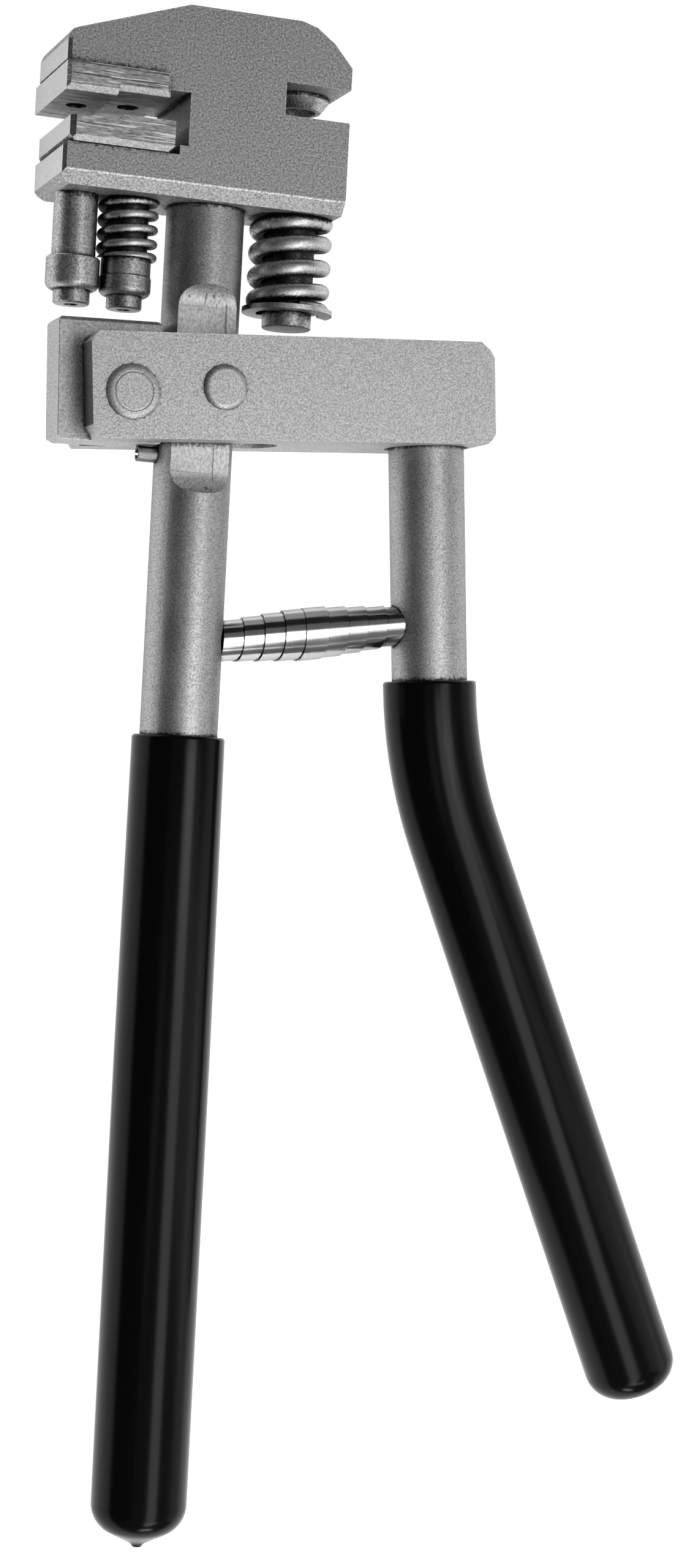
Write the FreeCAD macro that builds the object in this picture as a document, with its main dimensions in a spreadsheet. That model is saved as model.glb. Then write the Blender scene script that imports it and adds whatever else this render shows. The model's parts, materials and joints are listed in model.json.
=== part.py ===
import FreeCAD, Part
import math
import os
import re
import Sketcher

# Flanging punch pliers, lying on their back: +X to the right, +Y from the grips to the head, +Z up.
# While it is drawn, the tool stands about the fixed handle's axis (x = 0, z = 0), with y = 0 at the
# height of the lever's pivot. At the end everything moves so that the origin lies under the middle.

V = FreeCAD.Vector
doc = FreeCAD.newDocument("FlangingPunchPliers")

SIZES = {
    # Clearances
    "running_fit": 0.05,
    "seat_fit": 0.02,
    "swivel_play": 0.1,
    "jaw_play": 0.1,
    "overrun": 3,
    # Fixed handle: a round bar with two milled flats and a turned spigot that carries the head
    "bar_radius": 10,
    "bar_drop": 288.6,
    "bar_end_chamfer": 1,
    "flat_half_width": 6.4,
    "flat_top": 20.9,
    "flat_drop": 20.5,
    "flat_end_radius": 6.2,
    "spigot_radius": 7,
    "spigot_chamfer": 0.8,
    # Head: one block with a throat on the left for the jaws and a slot on the right for the punch
    "head_left": 41.5,
    "head_right": 32.4,
    "head_floor": 46.8,
    "head_height": 47.4,
    "head_depth": 31,
    "roof_left": 10.9,
    "roof_right": 18.5,
    "brow_right": 22.6,
    "brow_height_level_share": 0.97468,
    "shoulder_middle_right": 27.4,
    "shoulder_middle_level_share": 0.90295,
    "right_shoulder_level_share": 0.78481,
    "cheek_left": 40.3,
    "cheek_height_level_share": 0.7943,
    "left_shoulder_level_share": 0.7616,
    "floor_bevel_depth": 2.5,
    "floor_bevel_height": 3.4,
    "floor_corner_width": 2.4,
    "floor_corner_height": 1.5,
    "head_edge_chamfer": 0.9,
    "slot_end": 15.1,
    "slot_floor_level_share": 0.49156,
    "slot_ceiling_level_share": 0.66667,
    "throat_wall": 9.8,
    "throat_ceiling_level_share": 0.54008,
    "throat_ledge_level_share": 0.25949,
    "pocket_wall": 12,
    "pocket_floor_level_share": 0.20992,
    "jaw_seat_ceiling_level_share": 0.61814,
    "jaw_seat_wall": 15.3,
    # Washer and screw that hold the head on the spigot
    "counterbore_radius": 9.8,
    "counterbore_depth": 8.2,
    "washer_radius": 9,
    "washer_bore_radius": 4.2,
    "washer_thickness": 1.8,
    "keeper_radius": 4,
    "keeper_length": 20,
    "keeper_head_radius": 6.5,
    "keeper_head_height": 5,
    "keeper_socket_radius": 3.5,
    "keeper_socket_depth": 3,
    # Jaws: the upper one is screwed in, the lower one stands on the two plungers
    "jaw_depth": 35,
    "jaw_overhang": 0.4,
    "jaw_bevel": 1.3,
    "jaw_edge_chamfer": 0.9,
    "upper_jaw_outer_face_level_share": 0.46941,
    "upper_jaw_inner_face_level_share": 0.49473,
    "upper_step_outer": 28.9,
    "upper_step_inner": 28.4,
    "jaw_screw_outer": 35.1,
    "jaw_screw_inner": 21.9,
    "jaw_screw_radius": 1.5,
    "jaw_screw_share": 0.25316,
    "jaw_screw_head_radius": 2.6,
    "jaw_screw_head_height": 2.8,
    "jaw_screw_recess": 0.7,
    "jaw_screw_hole_radius": 2.75,
    "jaw_screw_socket_radius": 1.4,
    "jaw_screw_socket_depth": 1.4,
    "lower_jaw_inset": 1.1,
    "lower_jaw_right": 13.85,
    "lower_jaw_outer_face_level_share": 0.34177,
    "lower_jaw_inner_face_level_share": 0.37131,
    "lower_step_outer": 28.4,
    "lower_step_inner": 27.1,
    # Plungers: two round rods that are pressed into the lower jaw
    "outer_plunger_place": 34,
    "inner_plunger_place": 20.3,
    "outer_rod_radius": 5.55,
    "inner_rod_radius": 5.25,
    "plunger_tip": 19.2,
    "tip_chamfer": 0.4,
    "outer_stub_radius": 4.65,
    "inner_stub_radius": 4.53,
    "centre_hole_radius": 1.75,
    "centre_hole_depth": 3,
    "tenon_radius": 3.5,
    "tenon_length": 4.6,
    "collar_radius": 6.8,
    "collar_floor": 22.7,
    "collar_top": 31,
    "collar_round": 1.9,
    "sleeve_radius": 6.35,
    "sleeve_floor": 27.5,
    "sleeve_top": 31.8,
    "nut_radius": 6.6,
    "nut_floor": 22.5,
    "nut_round": 1.8,
    "nut_edge": 0.25,
    # Return spring round the inner plunger
    "return_wire": 2.2,
    "return_spring_radius": 7.75,
    "return_turns": 4.1,
    "return_first_pitch": 2.55,
    "return_start_turn": 225,
    # Punch, its clip and its spring
    "punch_place": 23.2,
    "punch_radius": 6.35,
    "punch_tip_radius": 4.6,
    "punch_foot": 18.7,
    "punch_shoulder_level_share": 0.27848,
    "punch_tip_level_share": 0.48101,
    "punch_travel": 6.15,
    "punch_edge": 0.3,
    "clip_seat": 22.5,
    "clip_thickness": 1.3,
    "clip_radius": 11.7,
    "clip_cavity_radius": 8,
    "clip_groove_radius": 5.2,
    "clip_lug_width": 4,
    "clip_lug_reach": 10.4,
    "clip_mouth_width": 10.8,
    "clip_mouth_turn": 40,
    "clip_lug_turn": 90,
    "punch_wire": 4.2,
    "punch_spring_radius": 10.8,
    "punch_spring_turns": 4,
    "punch_first_pitch": 4.65,
    "punch_start_turn": 270,
    # Share of a wire's thickness that is left above the ground flat on a spring's end
    "ground_share": 0.3,
    # Share of a half turn over which a winding's direction is taken, and points in each turn for its gaps
    "tangent_share": 0.001,
    "gap_samples": 48,
    # Die button in the slot's ceiling and the screw that holds it
    "die_face_level_share": 0.58861,
    "die_face_radius": 6.05,
    "die_rim_level_share": 0.64557,
    "die_radius": 8.05,
    "die_bore_radius": 4.7,
    "die_shank_radius": 6,
    "die_shank_length": 7.6,
    "slug_hole_radius": 5.1,
    "die_screw_radius": 2,
    "die_screw_height_level_share": 0.72574,
    "die_screw_recess": 0.5,
    "die_screw_socket_radius": 1.15,
    "die_screw_socket_depth": 1.4,
    # Stop pin under the pusher, a rolled pin in the fixed handle
    "stop_pin_radius": 2,
    "stop_pin_wall": 0.7,
    "stop_pin_slit": 0.6,
    "stop_pin_reach": 4.9,
    "stop_pin_depth": 5,
    "stop_pin_drop": 16.6,
    # Lever: a forked block drawn level, then turned to its open position
    "open_angle": 4.14,
    "lever_left": 31.3,
    "lever_right": 77.25,
    "lever_top": 13.3,
    "lever_bottom": 13.2,
    "lever_depth": 31.4,
    "left_top_cut_width": 2.1,
    "left_top_cut_height": 2.4,
    "left_bottom_cut_width": 2,
    "left_bottom_cut_height": 3.4,
    "right_top_cut_width": 4.5,
    "right_top_cut_height": 3.9,
    "right_bottom_cut_width": 3,
    "right_bottom_cut_height": 2.8,
    "lever_edge_chamfer": 1.9,
    "fork_slot_end": 21.3,
    "fork_slot_half_width": 6.55,
    "pivot_place": 2.95,
    "pivot_pin_radius": 3.75,
    "pivot_head_radius": 5.7,
    "pusher_pin_place": 21,
    "pusher_pin_sink": 1.59,
    "pusher_pin_radius": 4.5,
    "pusher_pin_head_radius": 6.9,
    "pin_head_height": 1.1,
    "pin_head_round": 0.9,
    # Pusher: the block between the fork's cheeks that lifts whatever stands over it
    "pusher_tilt": 2.1,
    "pusher_half_depth": 6.34,
    "pusher_left": 16.8,
    "pusher_right": 10,
    "pusher_top": 19.1,
    "pusher_bottom": 11.66,
    "pusher_top_chamfer": 0.85,
    "pusher_corner_width": 1.6,
    "pusher_corner_height": 0.9,
    # Moving handle: a thick tube, square to the lever and then bent outwards
    "handle_place": 63,
    "handle_socket_depth": 20,
    "handle_bore_radius": 6,
    "socket_mouth_chamfer": 1.25,
    "corner_drop": 83.56,
    "bend_radius": 125,
    "bend_angle": 18.64,
    "handle_tail": 178.45,
    # Dipped grips
    "grip_top_radius": 11.95,
    "grip_radius": 12.35,
    "grip_drop": 87.7,
    "grip_taper_length": 80,
    "grip_shoulder_drop": 1.3,
    "grip_nose_radius": 2,
    "grip_cap": 6.6,
    "grip_end_round": 8,
    "grip_top_round": 0.9,
    "moving_grip_drop": 61.2,
    "moving_grip_cap": 3.5,
    "drip_tip_radius": 1.2,
    "drip_height": 1,
    # Handle spring: one strip wound to a double cone, each end let into a handle
    "spring_bar_drop": 64.45,
    "spring_handle_drop": 45.8,
    "spring_seat_radius": 5.25,
    "spring_seat_floor": 7.6,
    "spring_end_gap": 0.2,
    "strip_thickness": 0.7,
    "strip_gap": 0.5,
    "spring_end_radius": 4.9,
    "spring_middle_radius": 6.95,
    "spring_turns": 9.5,
}

# Levels in the head rise with its height, so that what it holds keeps together
LEVELS = {"head_roof": "=head_floor + head_height", "jaw_screw_length": "=head_height * jaw_screw_share"}
for name in SIZES:
    if name.endswith("_level_share"):
        LEVELS[name.removesuffix("_level_share")] = f"=head_floor + head_height * {name}"

sheet = doc.addObject("Spreadsheet::Sheet", "Sizes")
for row, (alias, value) in enumerate({**SIZES, **LEVELS}.items(), start=1):
    sheet.set(f"A{row}", alias)
    sheet.set(f"B{row}", str(value))
    sheet.setAlias(f"B{row}", alias)
doc.recompute()


def bound(formula):
    """Writes a formula of size names so that it reads those cells of the sheet."""
    names = {**SIZES, **LEVELS}
    return re.sub(r"[a-z_]+", lambda word: f"Sizes.{word[0]}" if word[0] in names else word[0], formula)


def size(name):
    return float(sheet.get(name))


# Tools for drawing


def bind(piece, **formulas):
    places = {"x": "Placement.Base.x", "y": "Placement.Base.y", "z": "Placement.Base.z"}
    for key, formula in formulas.items():
        piece.setExpression(places.get(key, key), bound(formula))
    return piece


TURNS = {
    "x": FreeCAD.Rotation(V(0, 0, 1), V(1, 0, 0)),
    "y": FreeCAD.Rotation(V(0, 0, 1), V(0, 1, 0)),
    "z": FreeCAD.Rotation(),
}


def round_bar(name, axis, radius, length, x="0", y="0", z="0"):
    bar = doc.addObject("Part::Cylinder", name)
    bar.Placement.Rotation = TURNS[axis]
    return bind(bar, Radius=radius, Height=length, x=x, y=y, z=z)


def cone(name, axis, first_radius, last_radius, length, x="0", y="0", z="0"):
    taper = doc.addObject("Part::Cone", name)
    taper.Placement.Rotation = TURNS[axis]
    return bind(taper, Radius1=first_radius, Radius2=last_radius, Height=length, x=x, y=y, z=z)


def hexagon(name, axis, corner_radius, length, x="0", y="0", z="0"):
    prism = doc.addObject("Part::Prism", name)
    prism.Polygon = 6
    prism.Placement.Rotation = TURNS[axis]
    return bind(prism, Circumradius=corner_radius, Height=length, x=x, y=y, z=z)


def block(name, x_span, y_span, z_span):
    box = doc.addObject("Part::Box", name)
    lengths = {}
    for key, (low, high) in {"Length": x_span, "Width": y_span, "Height": z_span}.items():
        lengths[key] = f"({high}) - ({low})"
    return bind(box, x=x_span[0], y=y_span[0], z=z_span[0], **lengths)


def cut(name, base, *tools):
    """Takes each tool out of the base in turn and checks that every one removes something."""
    result = base
    for number, tool in enumerate(tools, start=1):
        before = result
        last = number == len(tools)
        result = doc.addObject("Part::Cut", name if last else f"{name}_stage_{number}")
        result.Base = before
        result.Tool = tool
        doc.recompute()
        if result.Shape.Volume >= before.Shape.Volume:
            raise RuntimeError(f"{tool.Name} removes nothing from {name}")
    return result


def fuse(name, *pieces):
    result = doc.addObject("Part::MultiFuse", name)
    result.Shapes = list(pieces)
    doc.recompute()
    return result


def origin_plane(body, role):
    return next(feature for feature in body.Origin.OriginFeatures if feature.Role == role)


def new_sketch(body, name, role, offset="0"):
    sketch = body.newObject("Sketcher::SketchObject", name)
    sketch.AttachmentSupport = [(origin_plane(body, role), "")]
    sketch.MapMode = "FlatFace"
    if offset != "0":
        sketch.setExpression("AttachmentOffset.Base.z", bound(offset))
    return sketch


def formula_value(formula):
    """Works out a formula of size names, as the first guess for a point of a sketch."""
    names = doc.addObject("App::VarSet", "Scratch") if not doc.getObject("Scratch") else doc.Scratch
    if "guess" not in names.PropertiesList:
        names.addProperty("App::PropertyFloat", "guess")
    names.setExpression("guess", bound(formula))
    names.recompute()
    return names.guess


def pin_point(sketch, element, end, x, y):
    """Holds one end of a line at a point whose two places are formulas."""
    for kind, formula in (("DistanceX", x), ("DistanceY", y)):
        guess = formula_value(formula)
        constraint = Sketcher.Constraint(kind, -1, 1, element, end, guess)
        index = sketch.addConstraint(constraint)
        sketch.setExpression(f"Constraints[{index}]", bound(formula))


def outline(sketch, points):
    """Draws a closed outline through points given as pairs of formulas."""
    places = [V(formula_value(x), formula_value(y), 0) for x, y in points]
    count = len(points)
    for index in range(count):
        sketch.addGeometry(Part.LineSegment(places[index], places[(index + 1) % count]), False)
    for index in range(count):
        sketch.addConstraint(Sketcher.Constraint("Coincident", index, 2, (index + 1) % count, 1))
    for index, (x, y) in enumerate(points):
        pin_point(sketch, index, 1, x, y)


def turned(name, points, axis="y"):
    """A turned piece: its half section, as (radius, height) pairs, revolved about the axis."""
    body = doc.addObject("PartDesign::Body", name)
    sketch = new_sketch(body, f"{name}_section", "XY_Plane" if axis == "y" else "XZ_Plane")
    outline(sketch, points)
    revolution = body.newObject("PartDesign::Revolution", f"{name}_turning")
    revolution.Profile = sketch
    revolution.ReferenceAxis = (sketch, ["V_Axis"])
    revolution.Angle = 360
    doc.recompute()
    return body


def plate(name, points, depth, role="XY_Plane"):
    """A plate: its outline padded by half of its depth to each side of the plane."""
    body = doc.addObject("PartDesign::Body", name)
    sketch = new_sketch(body, f"{name}_outline", role)
    outline(sketch, points)
    pad = body.newObject("PartDesign::Pad", f"{name}_pad")
    pad.Profile = sketch
    pad.Midplane = True
    pad.setExpression("Length", bound(depth))
    doc.recompute()
    return body


def dress(body, kind, name, amount, test):
    """Chamfers or rounds the edges of the body's last feature that pass the test."""
    base = body.Tip
    edges = enumerate(base.Shape.Edges, start=1)
    chosen = [f"Edge{number}" for number, edge in edges if test(edge.BoundBox)]
    feature = body.newObject(f"PartDesign::{kind}", name)
    feature.Base = (base, chosen)
    feature.setExpression("Size" if kind == "Chamfer" else "Radius", bound(amount))
    doc.recompute()
    return feature


def near(value, *targets):
    return any(abs(value - target) < size("seat_fit") / 2 for target in targets)


def flat_at(bounds, axis, *targets):
    """Tells whether an edge lies wholly at one of the targets along the axis."""
    low, high = {
        "x": (bounds.XMin, bounds.XMax),
        "y": (bounds.YMin, bounds.YMax),
        "z": (bounds.ZMin, bounds.ZMax),
    }[axis]
    return near(low, *targets) and near(high, *targets)


def runs_along(bounds, axis):
    spans = {"x": bounds.XLength, "y": bounds.YLength, "z": bounds.ZLength}
    return all(length < size("seat_fit") for key, length in spans.items() if key != axis)


# Springs: a centre line of arcs, two to each half turn, swept into one unbroken solid


def arc_from(start, tangent, end):
    """The arc that leaves the start along the tangent and reaches the end."""
    chord = end - start
    along = chord.normalize() if chord.Length else tangent
    chord = end - start
    turn = tangent.getAngle(along)
    side = (tangent - along * tangent.dot(along)).normalize()
    middle = start + chord / 2 + side * (chord.Length / 2 * math.tan(turn / 2))
    return Part.Arc(start, middle, end).toShape()


def half_turn(start, start_tangent, end, end_tangent):
    """Two arcs that meet smoothly between two points of a winding."""
    gap = end - start
    bend = 2 * (1 - start_tangent.dot(end_tangent))
    along = gap.dot(start_tangent + end_tangent)
    reach = (math.sqrt(along**2 + bend * gap.dot(gap)) - along) / bend
    joint = (start + end + (start_tangent - end_tangent) * reach) / 2
    first = arc_from(start, start_tangent, joint)
    middle_tangent = (end - end_tangent * reach - start - start_tangent * reach).normalize()
    second = arc_from(joint, middle_tangent, end)
    return [first, second]


def winding_wire(point, turns):
    """The centre line of a winding, whose point function takes a number of turns."""
    count = round(2 * turns)
    step = turns / count
    small = step * size("tangent_share")
    places = [point(index * step) for index in range(count + 1)]
    tangents = []
    for index in range(count + 1):
        middle = index * step
        tangents.append((point(middle + small) - point(middle - small)).normalize())
    arcs = []
    for index in range(count):
        arcs += half_turn(places[index], tangents[index], places[index + 1], tangents[index + 1])
    return Part.Wire(arcs)


def least_gap(name, lines, turns, thickness):
    """Prints the least distance between points of a winding that lie over half a turn apart."""
    samples = size("gap_samples")
    count = round(turns * samples)
    apart = round(samples / 2)
    least = math.inf
    for first_line in lines:
        for second_line in lines:
            first = [first_line(index / samples) for index in range(count + 1)]
            second = [second_line(index / samples) for index in range(count + 1)]
            for index, place in enumerate(first):
                for other in second[index + apart :]:
                    least = min(least, (place - other).Length)
    print(f"{name}: least gap to itself {least - thickness:.3f} mm")


def wire_spring(name, wire, outer_radius, turns, first_pitch, start_turn, low, high):
    """A right-handed round-wire spring along Y, wound closer at its foot and ground flat at both ends."""
    radius = outer_radius - wire / 2
    first = low + wire * size("ground_share")
    rise = high - low - 2 * wire * size("ground_share")
    foot_share = first_pitch * turns / rise

    def point(turn):
        angle = math.radians(start_turn) + 2 * math.pi * turn
        share = turn / turns
        height = first + rise * (foot_share * share + (1 - foot_share) * share**2)
        return V(radius * math.cos(angle), height, -radius * math.sin(angle))

    centre_line = winding_wire(point, turns)
    start = centre_line.Edges[0]
    section = Part.Wire(Part.makeCircle(wire / 2, point(0), start.tangentAt(start.FirstParameter)))
    solid = centre_line.makePipeShell([section], True, False)
    gap = size("seat_fit")
    room = Part.makeCylinder(outer_radius * 2, high - low - 2 * gap, V(0, low + gap, 0), V(0, 1, 0))
    spring = doc.addObject("Part::Feature", name)
    spring.Shape = solid.common(room).Solids[0]
    least_gap(name, [point], turns, wire)
    return spring


# Fixed handle

spigot_top = "(head_roof - counterbore_depth + swivel_play)"
bar_blank = turned("fixed_handle_blank", [
    ("0", "-bar_drop"),
    ("bar_radius - bar_end_chamfer", "-bar_drop"),
    ("bar_radius", "-bar_drop + bar_end_chamfer"),
    ("bar_radius", "head_floor - swivel_play"),
    ("spigot_radius", "head_floor - swivel_play"),
    ("spigot_radius", f"{spigot_top} - spigot_chamfer"),
    ("spigot_radius - spigot_chamfer", spigot_top),
    ("keeper_radius + seat_fit", spigot_top),
    ("keeper_radius + seat_fit", f"{spigot_top} - keeper_length - seat_fit"),
    ("0", f"{spigot_top} - keeper_length - seat_fit"),
])


def milled_flat(name, side, low, high):
    """A cutter's path across the bar: level between two round run-outs."""
    start = "-bar_radius - overrun"
    width = "2 * (bar_radius + overrun)"
    level = f"{side}(flat_half_width + flat_end_radius)"
    first = round_bar(f"{name}_top", "x", "flat_end_radius", width, x=start, y="flat_top", z=level)
    last = round_bar(f"{name}_foot", "x", "flat_end_radius", width, x=start, y="-flat_drop", z=level)
    middle = block(f"{name}_middle", (start, "bar_radius + overrun"), ("-flat_drop", "flat_top"), (low, high))
    return fuse(name, first, last, middle)


pivot_x = "pivot_place * cos(open_angle * 1 deg)"
pivot_y = "pivot_place * sin(open_angle * 1 deg)"
lever_turn = math.radians(size("open_angle"))


def lever_point(along, across):
    """A point of the level lever, moved to where the open lever has it."""
    x = along * math.cos(lever_turn) - across * math.sin(lever_turn)
    y = along * math.sin(lever_turn) + across * math.cos(lever_turn)
    return V(x, y, 0)


spring_start = V(0, -size("spring_bar_drop"), 0)
spring_finish = lever_point(size("handle_place"), -size("lever_bottom") - size("spring_handle_drop"))
spring_line = (spring_finish - spring_start).normalize()
spring_span = (spring_finish - spring_start).Length


def spring_seat(name, centre, direction):
    """The drilled seat for one end of the handle spring, in the frame of the open tool."""
    seat = doc.addObject("Part::Cylinder", name)
    bind(seat, Radius="spring_seat_radius", Height="bar_radius - spring_seat_floor + overrun")
    start = centre + direction * size("spring_seat_floor")
    seat.Placement = FreeCAD.Placement(start, FreeCAD.Rotation(V(0, 0, 1), direction))
    return seat


bar_depth = "2 * (bar_radius + overrun)"
fixed_handle = cut(
    "fixed_handle",
    bar_blank,
    milled_flat("front_flat", "", "flat_half_width", "bar_radius + overrun"),
    milled_flat("back_flat", "-", "-bar_radius - overrun", "-flat_half_width"),
    round_bar("pivot_bore", "z", "pivot_pin_radius + running_fit", bar_depth,
              x=pivot_x, y=pivot_y, z="-bar_radius - overrun"),
    round_bar("stop_pin_bore", "x", "stop_pin_radius + seat_fit", "stop_pin_depth + overrun",
              x="-bar_radius - overrun", y="-stop_pin_drop"),
    spring_seat("bar_spring_seat", spring_start, spring_line),
)

# Stop pin

pin_span = ("-bar_radius - stop_pin_reach", "-bar_radius + stop_pin_depth - seat_fit")
pin_length = "stop_pin_reach + stop_pin_depth - seat_fit"
stop_pin = cut(
    "stop_pin",
    round_bar("stop_pin_rod", "x", "stop_pin_radius", pin_length, x=pin_span[0], y="-stop_pin_drop"),
    round_bar("stop_pin_hollow", "x", "stop_pin_radius - stop_pin_wall", f"{pin_length} + 2 * overrun",
              x=f"{pin_span[0]} - overrun", y="-stop_pin_drop"),
    block("stop_pin_gap", (f"{pin_span[0]} - overrun", f"{pin_span[1]} + overrun"),
          ("-stop_pin_drop - stop_pin_slit / 2", "-stop_pin_drop + stop_pin_slit / 2"),
          ("-stop_pin_radius - overrun", "0")),
)

# Head block

head_plate = plate("head_plate", [
    ("-head_left + floor_corner_width", "head_floor"),
    ("head_right", "head_floor"),
    ("head_right", "slot_floor"),
    ("slot_end", "slot_floor"),
    ("slot_end", "slot_ceiling"),
    ("head_right", "slot_ceiling"),
    ("head_right", "right_shoulder"),
    ("shoulder_middle_right", "shoulder_middle"),
    ("brow_right", "brow_height"),
    ("roof_right", "head_roof"),
    ("-roof_left", "head_roof"),
    ("-cheek_left", "cheek_height"),
    ("-head_left", "left_shoulder"),
    ("-head_left", "jaw_seat_ceiling"),
    ("-jaw_seat_wall", "jaw_seat_ceiling"),
    ("-jaw_seat_wall", "throat_ceiling"),
    ("-throat_wall", "throat_ceiling"),
    ("-throat_wall", "throat_ledge"),
    ("-pocket_wall", "throat_ledge"),
    ("-pocket_wall", "pocket_floor"),
    ("-head_left", "pocket_floor"),
    ("-head_left", "head_floor + floor_corner_height"),
], "head_depth")
head_face = size("head_depth") / 2
dress(head_plate, "Chamfer", "left_edges", "head_edge_chamfer", lambda bounds: (
    near(bounds.XMin, -size("head_left")) and bounds.XMax < size("seat_fit") - size("cheek_left")
    and flat_at(bounds, "z", head_face, -head_face)
))


def floor_bevel(name, side):
    """The wedge that bevels the front or back edge of the head's floor."""
    return plate(name, [
        ("head_floor - overrun", f"{side}(head_depth / 2 + overrun)"),
        ("head_floor - overrun", f"{side}(head_depth / 2 - floor_bevel_depth)"),
        ("head_floor", f"{side}(head_depth / 2 - floor_bevel_depth)"),
        ("head_floor + floor_bevel_height", f"{side}head_depth / 2"),
        ("head_floor + floor_bevel_height", f"{side}(head_depth / 2 + overrun)"),
    ], "2 * (head_left + overrun)", role="YZ_Plane")


def head_bore(name, place, radius, low, high):
    return round_bar(name, "y", radius, f"({high}) - ({low})", x=place, y=low)


below = "head_floor - overrun"
above = "head_roof + overrun"
die_top = "(slot_ceiling + die_shank_length)"
rod_guides = []
for side in ("outer", "inner"):
    rod_guides.append(head_bore(f"{side}_rod_guide", f"-{side}_plunger_place",
                                f"{side}_rod_radius + running_fit", below, "pocket_floor + overrun"))
jaw_screw_tops = []
for side in ("outer", "inner"):
    jaw_screw_tops.append(head_bore(
        f"{side}_tapped_hole", f"-jaw_screw_{side}", "jaw_screw_radius + seat_fit",
        "jaw_seat_ceiling - overrun",
        "upper_jaw_inner_face + jaw_screw_recess + jaw_screw_head_height + jaw_screw_length"))
head_block = cut(
    "head_block",
    head_plate,
    floor_bevel("front_bevel", ""),
    floor_bevel("back_bevel", "-"),
    head_bore("spigot_bore", "0", "spigot_radius + running_fit", below, above),
    head_bore("counterbore", "0", "counterbore_radius", "head_roof - counterbore_depth", above),
    *rod_guides,
    *jaw_screw_tops,
    head_bore("punch_guide", "punch_place", "punch_radius + running_fit", below,
              "punch_shoulder + punch_travel + jaw_play"),
    head_bore("punch_tip_hole", "punch_place", "punch_tip_radius + running_fit", below,
              "slot_floor + overrun"),
    head_bore("die_seat", "punch_place", "die_shank_radius + seat_fit", "slot_ceiling - overrun",
              f"{die_top} + seat_fit"),
    head_bore("slug_hole", "punch_place", "slug_hole_radius", die_top, above),
    round_bar("die_screw_bore", "x", "die_screw_radius + seat_fit", "head_right - punch_place + overrun",
              x="punch_place", y="die_screw_height"),
)

# Washer and screw on top of the spigot

head_washer = turned("head_washer", [
    ("washer_bore_radius", spigot_top),
    ("washer_radius", spigot_top),
    ("washer_radius", f"{spigot_top} + washer_thickness"),
    ("washer_bore_radius", f"{spigot_top} + washer_thickness"),
])
keeper_seat = f"({spigot_top} + washer_thickness)"
head_screw_blank = turned("head_screw_blank", [
    ("0", f"{spigot_top} - keeper_length"),
    ("keeper_radius", f"{spigot_top} - keeper_length"),
    ("keeper_radius", keeper_seat),
    ("keeper_head_radius", keeper_seat),
    ("keeper_head_radius", f"{keeper_seat} + keeper_head_height - spigot_chamfer"),
    ("keeper_head_radius - spigot_chamfer", f"{keeper_seat} + keeper_head_height"),
    ("0", f"{keeper_seat} + keeper_head_height"),
])
head_retaining_screw = cut(
    "head_retaining_screw",
    head_screw_blank,
    hexagon("keeper_socket", "y", "keeper_socket_radius", "keeper_socket_depth + overrun",
            y=f"{keeper_seat} + keeper_head_height - keeper_socket_depth"),
)

# Upper jaw and its screws

jaw_face = size("jaw_depth") / 2
upper_jaw_plate = plate("upper_jaw_plate", [
    ("-head_left - jaw_overhang", "upper_jaw_outer_face"),
    ("-upper_step_outer", "upper_jaw_outer_face"),
    ("-upper_step_inner", "upper_jaw_inner_face"),
    ("-jaw_seat_wall - jaw_play", "upper_jaw_inner_face"),
    ("-jaw_seat_wall - jaw_play", "jaw_seat_ceiling"),
    ("-head_left - jaw_overhang", "jaw_seat_ceiling"),
], "jaw_depth")
dress(upper_jaw_plate, "Chamfer", "upper_jaw_edges", "jaw_edge_chamfer", lambda bounds: (
    runs_along(bounds, "y") and flat_at(bounds, "z", jaw_face, -jaw_face)
))


def jaw_bevel(name, face, low, high, side):
    """The wedge that bevels the front or back edge of one step of the upper jaw's face."""
    wedge = plate(name, [
        (f"{face} - overrun", f"{side}(jaw_depth / 2 + overrun)"),
        (f"{face} - overrun", f"{side}(jaw_depth / 2 - jaw_bevel)"),
        (face, f"{side}(jaw_depth / 2 - jaw_bevel)"),
        (f"{face} + jaw_bevel", f"{side}jaw_depth / 2"),
        (f"{face} + jaw_bevel", f"{side}(jaw_depth / 2 + overrun)"),
    ], f"({high}) - ({low})", role="YZ_Plane")
    return bind(wedge, x=f"(({low}) + ({high})) / 2")


step_middle = "-(upper_step_outer + upper_step_inner) / 2"
jaw_bevels = []
for end, side in (("front", ""), ("back", "-")):
    jaw_bevels.append(jaw_bevel(f"{end}_outer_bevel", "upper_jaw_outer_face", "-head_left - overrun",
                                step_middle, side))
    jaw_bevels.append(jaw_bevel(f"{end}_inner_bevel", "upper_jaw_inner_face", step_middle,
                                "-jaw_seat_wall + overrun", side))
screw_seat = "upper_jaw_{}_face + jaw_screw_recess + jaw_screw_head_height"
screw_cuts = []
screws = []
for side in ("outer", "inner"):
    seat = "(" + screw_seat.format(side) + ")"
    face = f"upper_jaw_{side}_face"
    place = f"-jaw_screw_{side}"
    screw_cuts.append(head_bore(f"{side}_head_hole", place, "jaw_screw_hole_radius",
                                f"{face} - overrun", seat))
    screw_cuts.append(head_bore(f"{side}_shank_hole", place, "jaw_screw_radius + running_fit", seat,
                                "jaw_seat_ceiling + overrun"))
    head_low = f"({face} + jaw_screw_recess)"
    screw_body = fuse(
        f"{side}_screw_body",
        head_bore(f"{side}_screw_head", place, "jaw_screw_head_radius", head_low, seat),
        head_bore(f"{side}_screw_shank", place, "jaw_screw_radius", seat,
                  f"{seat} + jaw_screw_length - jaw_screw_radius"),
    )
    screws.append(cut(
        f"{side}_jaw_screw",
        screw_body,
        hexagon(f"{side}_screw_socket", "y", "jaw_screw_socket_radius", "jaw_screw_socket_depth + overrun",
                x=place, y=f"{head_low} - overrun"),
    ))
upper_jaw = cut("upper_jaw", upper_jaw_plate, *jaw_bevels, *screw_cuts)
jaw_screws = doc.addObject("Part::Compound", "jaw_screws")
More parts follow.
